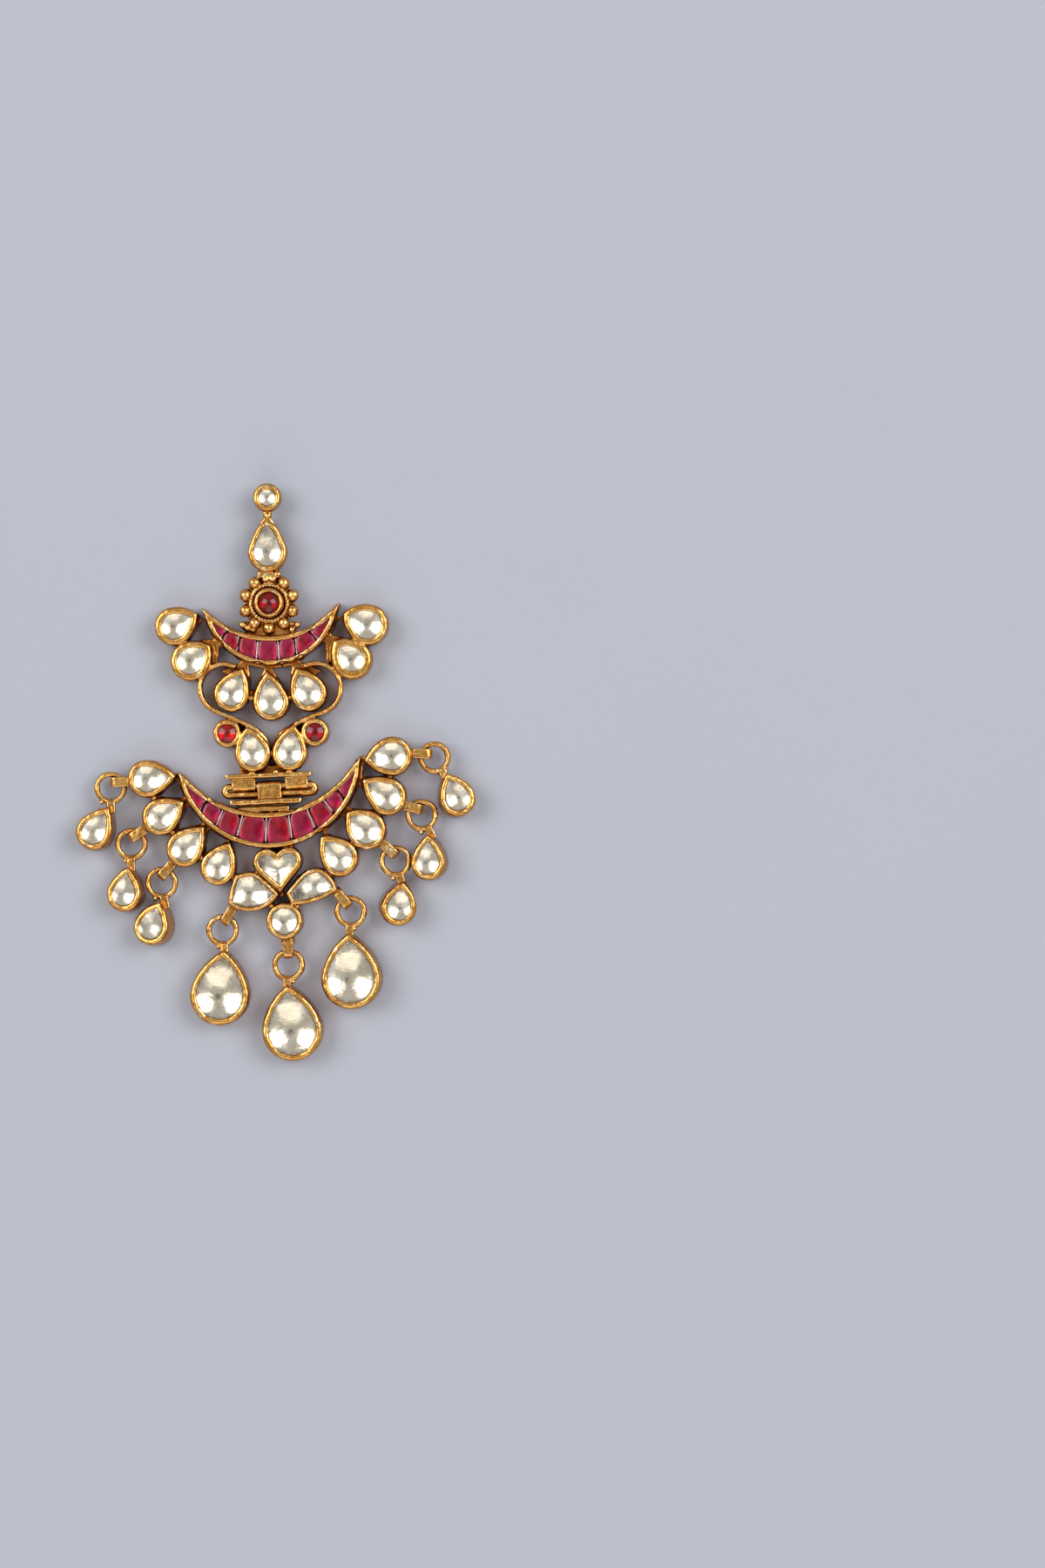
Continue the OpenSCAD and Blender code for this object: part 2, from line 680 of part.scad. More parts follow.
module leaf_stone_right() color("gainsboro")
    cushion(LEAF_RIGHT_CROWN, leaf_half, back_t, cup_h)
        leaf(LEAF_RIGHT, LEAF_RIGHT_BULGE, rim_w + seat_gap);

// Own frame of a drop, leaned about its long axis and lifted until its low edge lies on the surface
module lying(row)
    translate([row[X], row[Y], row[R] * sin(abs(row[LEAN]))]) rotate(row[TURN] - 90)
        rotate([0, row[LEAN], 0]) children();

module drop_setting(row) color("goldenrod") {
    way = tip(row) - [row[RING_X], row[RING_Y]];
    wire_middle = ring_r - ring_wire_r;
    difference() {
        union() {
            lying(row) slab(0, cup_h) pear(row[R], row[REACH]);
            translate([row[RING_X], row[RING_Y], ring_z]) rotate(atan2(way[1], way[0])) {
                rotate_extrude() translate([wire_middle, 0]) circle(ring_wire_r);
                bar([wire_middle, norm(way) + neck_bite, -neck_half, neck_half,
                    -neck_half, neck_half]);
            }
        }
        lying(row) slab(back_t, deep) pear(row[R], row[REACH], rim_w);
    }
}

module drop_stone(row) color("gainsboro")
    lying(row) stone([0, 0, row[R], row[REACH], 90]);

upper_frame();
ear_post();
top_stone(0);  // top_round_stone
top_stone(1);  // top_drop_stone
flower_ruby();
upper_ruby_row();
clear_stone(UPPER_SIDE[0]);  // upper_stone_left_1
clear_stone(UPPER_SIDE[1]);  // upper_stone_left_2
clear_stone(UPPER_SIDE[2]);  // upper_stone_right_1
clear_stone(UPPER_SIDE[3]);  // upper_stone_right_2
clear_stone(UPPER_MIDDLE[0]);  // upper_stone_middle_1
clear_stone(UPPER_MIDDLE[1]);  // upper_stone_middle_2
clear_stone(UPPER_MIDDLE[2]);  // upper_stone_middle_3
ruby(SMALL_RUBY[0]);  // small_ruby_left
ruby(SMALL_RUBY[1]);  // small_ruby_right
clear_stone(UPPER_BOTTOM[0]);  // upper_stone_bottom_1
clear_stone(UPPER_BOTTOM[1]);  // upper_stone_bottom_2
lower_frame();
hinge_link();
lower_ruby_row();
clear_stone(FAN_LEFT[0]);  // fan_stone_left_1
clear_stone(FAN_LEFT[1]);  // fan_stone_left_2
clear_stone(FAN_LEFT[2]);  // fan_stone_left_3
clear_stone(FAN_LEFT[3]);  // fan_stone_left_4
clear_stone(FAN_RIGHT[0]);  // fan_stone_right_1
clear_stone(FAN_RIGHT[1]);  // fan_stone_right_2
clear_stone(FAN_RIGHT[2]);  // fan_stone_right_3
clear_stone(FAN_RIGHT[3]);  // fan_stone_right_4
heart_stone();
leaf_stone_left();
leaf_stone_right();
clear_stone(LOWER_ROUND);  // lower_round_stone
drop_setting(DROP_LEFT[0]);  // drop_setting_left_1
drop_setting(DROP_LEFT[1]);  // drop_setting_left_2
drop_setting(DROP_LEFT[2]);  // drop_setting_left_3
drop_setting(DROP_RIGHT[0]);  // drop_setting_right_1
drop_setting(DROP_RIGHT[1]);  // drop_setting_right_2
drop_setting(DROP_RIGHT[2]);  // drop_setting_right_3
drop_setting(DROP_BOTTOM[0]);  // drop_setting_bottom_1
drop_setting(DROP_BOTTOM[1]);  // drop_setting_bottom_2
drop_setting(DROP_BOTTOM[2]);  // drop_setting_bottom_3
drop_stone(DROP_LEFT[0]);  // drop_stone_left_1
drop_stone(DROP_LEFT[1]);  // drop_stone_left_2
drop_stone(DROP_LEFT[2]);  // drop_stone_left_3
drop_stone(DROP_RIGHT[0]);  // drop_stone_right_1
drop_stone(DROP_RIGHT[1]);  // drop_stone_right_2
drop_stone(DROP_RIGHT[2]);  // drop_stone_right_3
drop_stone(DROP_BOTTOM[0]);  // drop_stone_bottom_1
drop_stone(DROP_BOTTOM[1]);  // drop_stone_bottom_2
drop_stone(DROP_BOTTOM[2]);  // drop_stone_bottom_3
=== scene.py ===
"""Looks of a hinged dangle earring, modelled around its packed construction.

The earring lies on its closed back. Its soldered gold is fused and softened like hand work, its clear
stones are low domes over a dished foil, and its rubies are pillows set edge to edge in two crescents.
"""

import math
from contextlib import contextmanager

import bmesh
import bpy
from bpy.props import FloatProperty, FloatVectorProperty, IntProperty, PointerProperty
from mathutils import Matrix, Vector


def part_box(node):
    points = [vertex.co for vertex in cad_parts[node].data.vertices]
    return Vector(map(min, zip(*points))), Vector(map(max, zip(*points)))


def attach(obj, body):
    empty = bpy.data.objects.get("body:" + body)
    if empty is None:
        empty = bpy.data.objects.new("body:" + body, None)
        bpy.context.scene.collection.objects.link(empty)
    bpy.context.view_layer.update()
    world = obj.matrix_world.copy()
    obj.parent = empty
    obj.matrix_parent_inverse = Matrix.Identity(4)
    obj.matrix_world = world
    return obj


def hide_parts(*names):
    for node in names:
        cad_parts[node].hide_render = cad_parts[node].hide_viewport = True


bl_info = {
    "name": "Hinged crescent earring",
    "version": (1, 0, 0),
    "blender": (4, 5, 0),
    "location": "3D View > Sidebar > Earring",
    "description": "Models the gold, the stones and the studio of a hinged dangle earring",
    "category": "Object",
}

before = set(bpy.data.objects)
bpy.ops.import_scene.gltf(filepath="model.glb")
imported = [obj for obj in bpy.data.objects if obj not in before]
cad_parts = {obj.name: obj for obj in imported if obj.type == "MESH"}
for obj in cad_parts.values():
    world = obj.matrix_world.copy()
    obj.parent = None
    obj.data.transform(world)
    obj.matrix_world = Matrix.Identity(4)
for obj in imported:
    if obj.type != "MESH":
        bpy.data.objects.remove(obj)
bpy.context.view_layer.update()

MM = 0.001
UP = Vector((0, 0, 1))
# Distance at which points are merged, and turn under which faces and edges count as straight
MERGE = 0.002 * MM
STRAIGHT = math.radians(2.5)
# How nearly a face looks, or an edge runs, along a direction at least, to be the underside of a stone,
# an edge that climbs a wall or the flat end of a stone, and how nearly a face of a wall looks up at most
UNDERSIDE = 0.9
CLIMB = 0.97
FLAT_END = 0.99
WALL = 0.5

# Height of a stone's crown above its rim, and drop of its edge below it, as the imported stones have
CROWN = 0.2 * MM
EDGE_DROP = 0.2 * MM
FLOWER_CROWN = 0.35 * MM
# Height of the setting walls, and of those above the ear post
CUP_DEPTH = 3.0 * MM
COLUMN_DEPTH = 1.5 * MM
FLOWER_DEPTH = 1.7 * MM
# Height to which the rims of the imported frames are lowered, so that modelled lips can take their place
TRIM_Z = 2.7 * MM

# Section of a lip, from the seat of the stone over the lip and down the wall. Columns: rise from
# the rim, and distance outside the stone's outline, in millimetres
LIP = [
    (-0.26, 0.03),
    (-0.16, -0.10),
    (-0.05, -0.04),
    (0.03, 0.06),
    (0.06, 0.20),
    (0.02, 0.34),
    (-0.08, 0.44),
    (-0.32, 0.50),
    (-1.20, 0.52),
]
# Flatter lip along a row of rubies, in the same columns
ROW_LIP = [
    (-0.24, 0.03),
    (-0.15, -0.11),
    (-0.04, -0.07),
    (0.03, 0.03),
    (0.05, 0.17),
    (0.03, 0.31),
    (-0.06, 0.41),
    (-0.27, 0.47),
    (-1.20, 0.49),
]
# Distance of the seat outside that outline, likewise, and room between the foil and the seat
SEAT_OUT = 0.03
FOIL_ROOM = 0.12 * MM
# Foot of the wall: height above the closed back, and distance inside the outermost wall
FOOT = [(0.35, 0.00), (0.10, 0.01), (0.00, 0.10)]
# How much further a lip laps over a stone, in millimetres: of most stones, and of some
LAP = 0.07
OWN_LAPS = {
    "upper_stone_left_1": 0.16,
    "upper_stone_left_2": 0.17,
    "upper_stone_right_1": 0.36,
    "upper_stone_right_2": 0.13,
    "leaf_stone_left": -0.09,
    "leaf_stone_right": -0.09,
    "lower_round_stone": -0.04,
    "flower_ruby": -0.10,
    "small_ruby_left": -0.02,
    "small_ruby_right": -0.02,
    "upper_ruby_row": 0.0,
    "lower_ruby_row": 0.0,
}
# Share of a lap that moves a point of the lip: inwards, and up along the dome of the stone
LAP_SHARES = [(0.0, 0.0), (1.0, 0.4), (1.0, 0.35), (0.7, 0.2), (0.3, 0.1)]

# Most that an offset moves a point of an outline, as a share of the offset: at the sharp corners of
# most stones, at those of the row with long horns, and elsewhere
HORN_THROW = 2.4
OWN_THROWS = {"upper_ruby_row": 3.6}
SIDE_THROW = 1.15
# Turn of an outline that makes a sharp corner for this, as a sine, and turn that makes a crease
SHARP_TURN = 0.3
CREASE_TURN = math.radians(52)
# Height at which a stone's outline is taken, as a share of its own height: of most stones, and of one
# that is low and long, so that its dome reaches far down at its ends
LEVEL = 0.4
OWN_LEVELS = {"top_drop_stone": 0.2}
# Sharper tip of that stone: its X and Y and the Y above which the outline is drawn to it, in
# millimetres, and the share of its width that the tip keeps
OWN_TIPS = {"top_drop_stone": (-0.97, 28.75, 28.10, 0.15)}

# Height of the floor, just under the unevenness of the closed backs, and its side
FLOOR_Z = -0.10 * MM
FLOOR_SIDE = 4.0
# Lamps. Columns: name, turn about the vertical and rise in degrees, side as a share of the distance,
# property that holds the power, and colour
LAMPS = [
    ("left softbox", 158, 50, 0.60, "key_power", (1.0, 0.98, 0.95)),
    ("right softbox", 22, 50, 0.60, "key_power", (1.0, 0.98, 0.95)),
    ("front umbrella", 270, 42, 0.80, "front_power", (1.0, 0.95, 0.86)),
]
# Colours of the sky from the horizon up, at shares of the way to the zenith
SKY = [
    (0.00, (0.22, 0.20, 0.19, 1)),
    (0.28, (0.55, 0.53, 0.51, 1)),
    (0.50, (0.92, 0.92, 0.93, 1)),
    (1.00, (0.95, 0.95, 0.96, 1)),
]
# Dark lens in the sky: its colour, how far past the camera it lies, and the turns from it to the edge
# and to the core of its shade, in degrees
LENS_COLOUR = (0.03, 0.03, 0.03, 1)
LENS_PAST = 5 * MM
LENS_SHADE = (9, 5)
# Width of the camera's sensor in millimetres, and how near and how far it sees
SENSOR = 36
CLIP = (10 * MM, 10)

# Height of a stone's girdle, the least distance that counts, and the crease at its corners
GIRDLE = 0.04 * MM
HAIR = 0.01 * MM
STONE_CREASE = 0.8
# Search for a stone's widest circle: its steps, as shares of the radius, and the gain that is worth one
CIRCLE_STEPS = (0.9, 0.3, 0.1, 0.03)
CIRCLE_GAIN = 0.001 * MM
# Rings of a stone from its girdle inwards: how much of the outline is left
RINGS = [0.93, 0.80, 0.62, 0.38, 0.12]
# How much rounder the rings of a stone become on their way in, and how round they become at most
ROUNDER = 1.7
ROUNDEST = 0.85
# How often the inside of a stone's top and foil is smoothed
POLISHING = 8
# Width of the round hollow pressed into the foil, as a share of the stone's own, and its part in the
# depth of the foil
HOLLOW = 1.35
HOLLOW_PART = 0.8

# Depth of the seat of a row of rubies below its rim
ROW_SEAT = 0.95 * MM
# How far each of its rubies spreads into the cuts, how far below the rim the rubies' walls start, and
# the height of these walls
ROW_SPREAD = 0.03 * MM
ROW_LEVEL = 0.4 * MM
ROW_WALL = 0.20 * MM
# Height of the foil folded up between them, how often it is cut, and depth and width of its crinkles
FOLD_DEPTH = 0.5 * MM
FOLD_CUTS = 5
FOLD_CRINKLE = 0.06 * MM
FOLD_CRINKLE_SIZE = 0.5 * MM
# Folded foil between the rubies of a row, from rim to rim, in photograph order from the left.
# Columns: X and Y of its two ends, in millimetres
ROW_FOILS = {
    "upper": [
        (-5.55, 16.55, -6.45, 15.35),
        (-4.25, 15.85, -4.55, 13.65),
        (-2.05, 15.15, -2.25, 12.85),
        (0.25, 15.15, 0.40, 12.65),
        (2.30, 15.45, 2.45, 13.45),
        (4.05, 16.25, 5.05, 15.05),
    ],
    "lower": [
        (-8.15, -3.15, -8.80, -4.45),
        (-6.05, -4.25, -6.85, -6.15),
        (-3.75, -4.75, -4.45, -7.35),
        (-1.05, -5.05, -1.15, -8.05),
        (1.45, -4.75, 1.85, -7.65),
        (3.50, -4.05, 4.50, -6.35),
        (5.35, -3.05, 6.55, -4.55),
        (7.10, -1.65, 7.90, -2.80),
    ],
}
# Rings of a ruby in a row, over and under its edge: share of its outline, and height
PILLOW = [(0.975, 0.06 * MM), (0.86, 0.12 * MM), (0.60, 0.16 * MM), (0.25, 0.18 * MM)]
PAVILION = [(0.80, 0.16 * MM), (0.45, 0.24 * MM), (0.15, 0.27 * MM)]

UPPER_STONES = [
    "upper_stone_left_1", "upper_stone_left_2", "upper_stone_right_1", "upper_stone_right_2",
    "upper_stone_middle_1", "upper_stone_middle_2", "upper_stone_middle_3",
    "upper_stone_bottom_1", "upper_stone_bottom_2",
]
TOP_STONES = ["top_round_stone", "top_drop_stone"]
SMALL_RUBIES = ["small_ruby_left", "small_ruby_right"]
# Columns: node, height of the crown, depth of the foil's dish and finish
ROUND_RUBIES = [
    ("small_ruby_left", CROWN, 0.35 * MM, "red ruby"),
    ("small_ruby_right", CROWN, 0.35 * MM, "dark ruby"),
    ("flower_ruby", FLOWER_CROWN, 0.50 * MM, "dark ruby"),
]
LOWER_STONES = [f"fan_stone_{side}_{i}" for side in ("left", "right") for i in (1, 2, 3, 4)]
LOWER_STONES += ["heart_stone", "leaf_stone_left", "leaf_stone_right", "lower_round_stone"]
# Columns: name of the drop and centre of its ring, in millimetres
DROP_RINGS = [
    ("left_1", -19.10, -1.80),
    ("left_2", -16.70, -8.30),
    ("left_3", -13.20, -12.75),
    ("right_1", 18.20, 1.70),
    ("right_2", 16.75, -4.95),
    ("right_3", 13.73, -10.25),
    ("bottom_1", -6.20, -18.20),
    ("bottom_2", 1.40, -22.20),
    ("bottom_3", 8.55, -16.05),
]

# Flower: its centre, its granules and the plate below them, in millimetres
FLOWER = (-0.80, 19.45)
GRANULE_RING = 2.86
GRANULE_R = 0.70
GRANULE_Z = 2.30
GRANULE_PLACES = 10
PLATE_R = 2.95
PLATE_DEPTH = 0.35
PLATE_Z = 1.90
# Twisted wire round its setting: its circle, its height, its twists, and the radius, stretch and slant
# in degrees of the bead that stands for one twist
WIRE_RING = 2.00
WIRE_Z = 2.40
WIRE_TWISTS = 34
WIRE_R = 0.21
WIRE_STRETCH = (1.0, 0.75, 1.6)
WIRE_SLANT = -52
# Beads beside the flower. Columns: X, Y, radius, height, in millimetres
FLOWER_BEADS = [
    (-1.20, 22.20, 0.40, 2.45),
    (-0.40, 22.20, 0.40, 2.45),
    (-3.85, 16.95, 0.38, 2.25),
    (-3.25, 16.60, 0.38, 2.25),
    (-2.65, 16.40, 0.38, 2.25),
    (1.85, 16.40, 0.38, 2.25),
    (2.45, 16.95, 0.38, 2.25),
]
# Blobs of solder on the upper frame. Columns: X, Y, radius, height, in millimetres
SOLDER = [
    (-0.97, 29.45, 0.46, 2.45),
    (-1.80, 22.80, 0.42, 2.35),
    (0.20, 22.80, 0.42, 2.35),
    (-2.95, 9.15, 0.46, 1.95),
    (1.65, 8.95, 0.46, 1.95),
    (-0.65, 2.60, 0.36, 1.90),
]
# Solder under the heart's tip, which is filed low. Columns: X, Y, radius, height left, likewise
HEART_TIP_SOLDER = (0.55, -13.95, 0.42, 1.70)
# Rounded upper edge of each scroll: its run in millimetres, its height and its half width
SCROLL_RUNS = [
    [(-4.64, 12.12), (-5.95, 12.45), (-7.43, 12.03), (-8.38, 11.05), (-8.75, 9.65), (-8.37, 8.25),
     (-7.56, 7.36), (-6.20, 6.72), (-4.30, 5.92), (-2.35, 4.92), (-1.20, 3.80), (-0.85, 2.90)],
    [(3.19, 12.21), (4.55, 12.55), (6.00, 12.16), (7.06, 11.10), (7.45, 9.65), (7.06, 8.20),
     (6.30, 7.34), (5.45, 6.89), (4.60, 6.62), (3.20, 6.00), (1.80, 5.25), (0.55, 4.35),
     (-0.15, 2.90)],
]
SCROLL_Z = 2.50
SCROLL_HALF = 0.27
# Beads of solder at a drop's neck: how far they lie from the middle of its ring, towards the stone and
# to each side, their height and their radius, in millimetres
BEAD_WAY = 1.95
BEAD_SIDE = 0.42
BEAD_Z = 1.70
BEAD_R = 0.25
# Triangles of the hinge link
LINK_FACES = 9000


def length(name, description, default, **limits):
    """Property for a length"""
    return FloatProperty(
        name=name, description=description, default=default, unit="LENGTH", **limits)


def hue(name, description, default):
    """Property for a colour"""
    return FloatVectorProperty(
        name=name, description=description, default=default, subtype="COLOR", size=3, min=0, max=1)


class EarringGold(bpy.types.PropertyGroup):
    """Sizes of the gold work"""

    voxel: length(
        "Grain of the fusing", "Finest detail that the soldered frames keep",
        0.085 * MM, min=0.05 * MM, max=0.2 * MM)
    drop_voxel: length(
        "Grain of the drops", "Finest detail that the drop settings keep",
        0.075 * MM, min=0.05 * MM, max=0.2 * MM)
    frame_faces: IntProperty(
        name="Faces of a frame", description="Triangles that a frame keeps", default=165000)
    drop_faces: IntProperty(
        name="Faces of a drop", description="Triangles for each square millimetre of a drop",
        default=140)
    swell: length("Swell", "What the gold gains again after it is softened", 0.035 * MM)
    link_swell: length(
        "Link swell", "What the wire of the hinge link gains outside its bores", 0.08 * MM)
    lump: length("Lumps", "Depth of the broad unevenness of the hand-worked gold", 0.11 * MM)
    lump_size: length("Lump size", "Width of that unevenness", 0.75 * MM)
    grain: length("File marks", "Depth of the fine unevenness", 0.022 * MM)
    grain_size: length("File mark size", "Width of the fine unevenness", 0.25 * MM)


class EarringStones(bpy.types.PropertyGroup):
    """Sizes of the stones"""

    dome: length("Dome", "Height of a clear stone above its girdle", 0.36 * MM)
    dish: FloatProperty(
        name="Dish", description="Depth of the foil below the girdle, as a share of the half width",
        default=0.30, min=0.1, max=0.5)
    foil_width: length("Foil fold width", "Width of the foil folded up between two rubies", 0.13 * MM)
    foil_drop: length("Foil fold drop", "Height of that foil below the rim", 0.14 * MM)


class EarringColours(bpy.types.PropertyGroup):
    """Colours of the finishes"""

    gold: hue("Gold", "Colour of the polished gold", (0.87, 0.485, 0.145))
    deep_gold: hue("Deep gold", "Colour of the duller gold", (0.72, 0.335, 0.075))
    pale_gold: hue("Pale gold", "Colour of the burnished edges", (1.0, 0.76, 0.42))
    # Shaded gold is the colour of painted shade on the gold's walls, low parts and between settings
    shaded_gold: hue("Shaded gold", "Colour of the gold low between the settings", (0.52, 0.19, 0.030))
    tarnish: hue("Tarnish", "Colour in the crevices", (0.085, 0.026, 0.006))
    foil: hue("Foil", "Colour of the foil behind the clear stones", (1.0, 0.955, 0.86))
    ruby: hue("Ruby", "Colour of the rubies", (0.60, 0.016, 0.09))
    red_ruby: hue("Red ruby", "Colour of the redder rubies", (0.62, 0.014, 0.030))
    ruby_glass: hue(
        "Ruby glass", "Tint of the light that comes back from their foil", (0.58, 0.16, 0.29))
    floor: hue("Floor", "Colour of the floor", (0.461, 0.489, 0.570))


class EarringStudio(bpy.types.PropertyGroup):
    """Sizes of the studio"""

    camera_height: length("Camera height", "Height of the camera above the floor", 433 * MM)
    camera_x: length("Camera X", "Place of the camera", 28.35 * MM)
    camera_y: length("Camera Y", "Place of the camera", -1.35 * MM)
    lens: FloatProperty(name="Lens", description="Focal length in millimetres", default=86.0)
    light_distance: length("Light distance", "Distance of the lights from the earring", 1.5)
    key_power: FloatProperty(
        name="Side lights", description="Power of each of the two softboxes", default=10.0,
        unit="POWER")
    front_power: FloatProperty(
        name="Front light", description="Power of the weak umbrella in front", default=4.0,
        unit="POWER")
    sky: FloatProperty(name="Sky", description="Strength of the light from all around", default=0.46)


def gold_work():
    """The sizes of the gold work, as they are set in the sidebar"""
    return bpy.context.scene.earring_gold


def stone_cut():
    return bpy.context.scene.earring_stones


def colours():
    return bpy.context.scene.earring_colours


def only(*pieces):
    """Selects these pieces and nothing else, the first of them active"""
    bpy.ops.object.select_all(action="DESELECT")
    for piece in pieces:
        piece.select_set(True)
    bpy.context.view_layer.objects.active = pieces[0]


def added():
    """The object that was added last, its place and scale applied"""
    bpy.ops.object.transform_apply(location=True, rotation=True, scale=True)
    return bpy.context.active_object


def named(piece, name):
    piece.name = name
    piece.data.name = name
    return piece


def smooth(piece):
    """Shades a piece smooth"""
    only(piece)
    bpy.ops.object.shade_smooth()


@contextmanager
def editing(piece):
    only(piece)
    bpy.ops.object.mode_set(mode="EDIT")
    yield
    bpy.ops.object.mode_set(mode="OBJECT")


def shape():
    """The mesh that is being edited"""
    return bmesh.from_edit_mesh(bpy.context.edit_object.data)


def pick_all():
    bpy.ops.mesh.select_all(action="SELECT")


def face_outwards():
    """Turns every face outwards"""
    pick_all()
    bpy.ops.mesh.normals_make_consistent(inside=False)


def pick(kind, test):
    """Selects the vertices, edges or faces that pass a test, and nothing else"""
    bpy.ops.mesh.select_all(action="DESELECT")
    bpy.ops.mesh.select_mode(type={"verts": "VERT", "edges": "EDGE", "faces": "FACE"}[kind])
    mesh = shape()
    for part in getattr(mesh, kind):
        part.select_set(test(part))
    mesh.select_flush_mode()
    bmesh.update_edit_mesh(bpy.context.edit_object.data)


def copy_of(node, name):
    """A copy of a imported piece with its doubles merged"""
    piece = bpy.data.objects.new(name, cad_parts[node].data.copy())
    bpy.context.scene.collection.objects.link(piece)
    piece.data.name = name
    piece.data.materials.clear()
    only(piece)
    bpy.ops.mesh.customdata_custom_splitnormals_clear()
    with editing(piece):
        pick_all()
        bpy.ops.mesh.remove_doubles(threshold=MERGE)
    return piece


def stone_up(node):
    """Direction square to a stone's flat underside, up through the stone"""
    down = Vector()
    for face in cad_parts[node].data.polygons:
        if face.normal.z < -UNDERSIDE:
            down += face.normal * face.area
    return -down.normalized()


def reach(node, up):
    """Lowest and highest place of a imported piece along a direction"""
    along = [v.co.dot(up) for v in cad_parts[node].data.vertices]
    return min(along), max(along)


def stone_face(node, name, level, up):
    """One flat face with the outline that a packed stone has at a level along its own axis"""
    piece = copy_of(node, name)
    with editing(piece):
        pick_all()
        bpy.ops.mesh.bisect(
            plane_co=up * level, plane_no=up, use_fill=True, clear_inner=True, clear_outer=True,
            threshold=MERGE / 10)
        pick_all()
        bpy.ops.mesh.dissolve_limited(angle_limit=STRAIGHT)
        if node in OWN_TIPS:
            x, y, base, left = OWN_TIPS[node]
            pick("verts", lambda vert: vert.co.y > base * MM)
            bpy.ops.transform.resize(value=(left, left, 1), center_override=(x * MM, y * MM, 0))
            pick_all()
    return piece


def shift(offset):
    bpy.ops.transform.translate(value=offset)


def corner_places(piece):
    """Places of the corners in the outline of a flat face"""
    face = piece.data.polygons[0]
    ring = [piece.data.vertices[i].co.copy() for i in face.vertices]
    found = []
    for i, here in enumerate(ring):
        before = here - ring[i - 1]
        after = ring[(i + 1) % len(ring)] - here
        if before.length > 0 and after.length > 0 and before.angle(after) > CREASE_TURN:
            found.append(here)
    return found


def crease_corners(places, up, strength=1.0):
    """Creases the edges that climb the wall at each corner, over the lip and down again"""
    def climbs(edge):
        way = edge.verts[1].co - edge.verts[0].co
        if way.length < MERGE or abs(way.normalized().dot(up)) < CLIMB:
            return False
        middle = (edge.verts[0].co + edge.verts[1].co) / 2
        for place in places:
            apart = middle - place
            if (apart - up * apart.dot(up)).length < 2 * HAIR:
                return True
        return False

    pick("edges", climbs)
    if any(edge.select for edge in shape().edges):
        bpy.ops.mesh.loop_multi_select(ring=False)
        bpy.ops.transform.edge_crease(value=strength)


def apply_modifier(piece, kind, **settings):
    """Adds a modifier, sets it and applies it"""
    only(piece)
    modifier = piece.modifiers.new(kind.lower(), kind)
    for name, value in settings.items():
        setattr(modifier, name, value)
    bpy.ops.object.modifier_apply(modifier=modifier.name)


def subdivide(piece, levels):
    apply_modifier(piece, "SUBSURF", levels=levels, render_levels=levels)


def lip_over(node, section):
    """Section of a lip, drawn further over its stone"""
    lap = OWN_LAPS.get(node, LAP)
    drawn = list(section)
    for i, (inwards, up) in enumerate(LAP_SHARES):
        rise, out = section[i]
        drawn[i] = (rise + up * lap, out - inwards * lap)
    return drawn


def outline_of(node, name):
    """Flat face with a stone's outline, and what is measured on the stone and on the face"""
    up = stone_up(node)
    low, high = reach(node, up)
    level = low + (high - low) * OWN_LEVELS.get(node, LEVEL)
    piece = stone_face(node, name, level, up)
    return piece, up, level, high, corner_places(piece), widest_circle(piece, up)


def setting(node, name, depth, crown=CROWN, seat=None, section=LIP):
    """Closed cup around a stone: its seat, its lip and its wall, down to a flat back"""
    piece, up, level, high, corners, (_, half) = outline_of(node, name)
    rim = high - crown
    if seat is None:
        seat = EDGE_DROP + stone_cut().dish * half + FOIL_ROOM
    lip = lip_over(node, section)
    wall = lip[-1][1]
    loops = [((rim - seat) / MM, SEAT_OUT)] + [(rim / MM + rise, out) for rise, out in lip]
    loops += [((rim - depth) / MM + rise, wall - inside) for rise, inside in FOOT]
    with editing(piece):
        note_homes(up, OWN_THROWS.get(node, HORN_THROW))
        bpy.ops.mesh.delete(type="ONLY_FACE")
        pick_all()
        bpy.ops.mesh.select_mode(type="EDGE")
        place, out = loops[0]
        shift(up * (place * MM - level))
        for next_place, next_out in loops[1:]:
            bpy.ops.mesh.extrude_edges_move(
                TRANSFORM_OT_translate={"value": up * ((next_place - place) * MM)})
            rising = next_place > place
            push = (next_out - out) * (1 if rising else -1)
            if push:
                bpy.ops.transform.shrink_fatten(value=push * MM, use_even_offset=True)
                hold_back(up, next_out * MM)
            place, out = next_place, next_out
        close_outline()
        pick("edges", lambda edge: edge.is_boundary)
        close_outline()
        face_outwards()
        crease_corners(corners, up)
    subdivide(piece, 1)
    return piece


def close_outline():
    """Closes the selected outline with triangles, which stay inside it when it is hollow"""
    bpy.ops.mesh.edge_face_add()
    bpy.ops.mesh.quads_convert_to_tris(ngon_method="CLIP")


def note_homes(up, horn_throw):
    """Notes where each vertex of an outline starts, and how far an offset may throw it"""
    mesh = shape()
    home = mesh.verts.layers.float_vector.new("home")
    throw = mesh.verts.layers.float.new("throw")
    mesh.faces.ensure_lookup_table()
    for corner in mesh.faces[0].loops:
        here = corner.vert.co
        before = here - corner.link_loop_prev.vert.co
        after = corner.link_loop_next.vert.co - here
        turn = before.cross(after).dot(mesh.faces[0].normal) / (before.length * after.length)
        corner.vert[home] = here - up * here.dot(up)
        corner.vert[throw] = horn_throw if turn > SHARP_TURN else SIDE_THROW
    bmesh.update_edit_mesh(bpy.context.edit_object.data)


def hold_back(up, out):
    """Pulls back the selected vertices that an even offset has thrown too far at a sharp corner"""
    mesh = shape()
    home = mesh.verts.layers.float_vector["home"]
    throw = mesh.verts.layers.float["throw"]
    for vert in mesh.verts:
        if vert.select:
            apart = vert.co - up * vert.co.dot(up) - vert[home]
            most = vert[throw] * abs(out)
            if apart.length > most:
                vert.co -= apart * (1 - most / apart.length)
    bmesh.update_edit_mesh(bpy.context.edit_object.data)


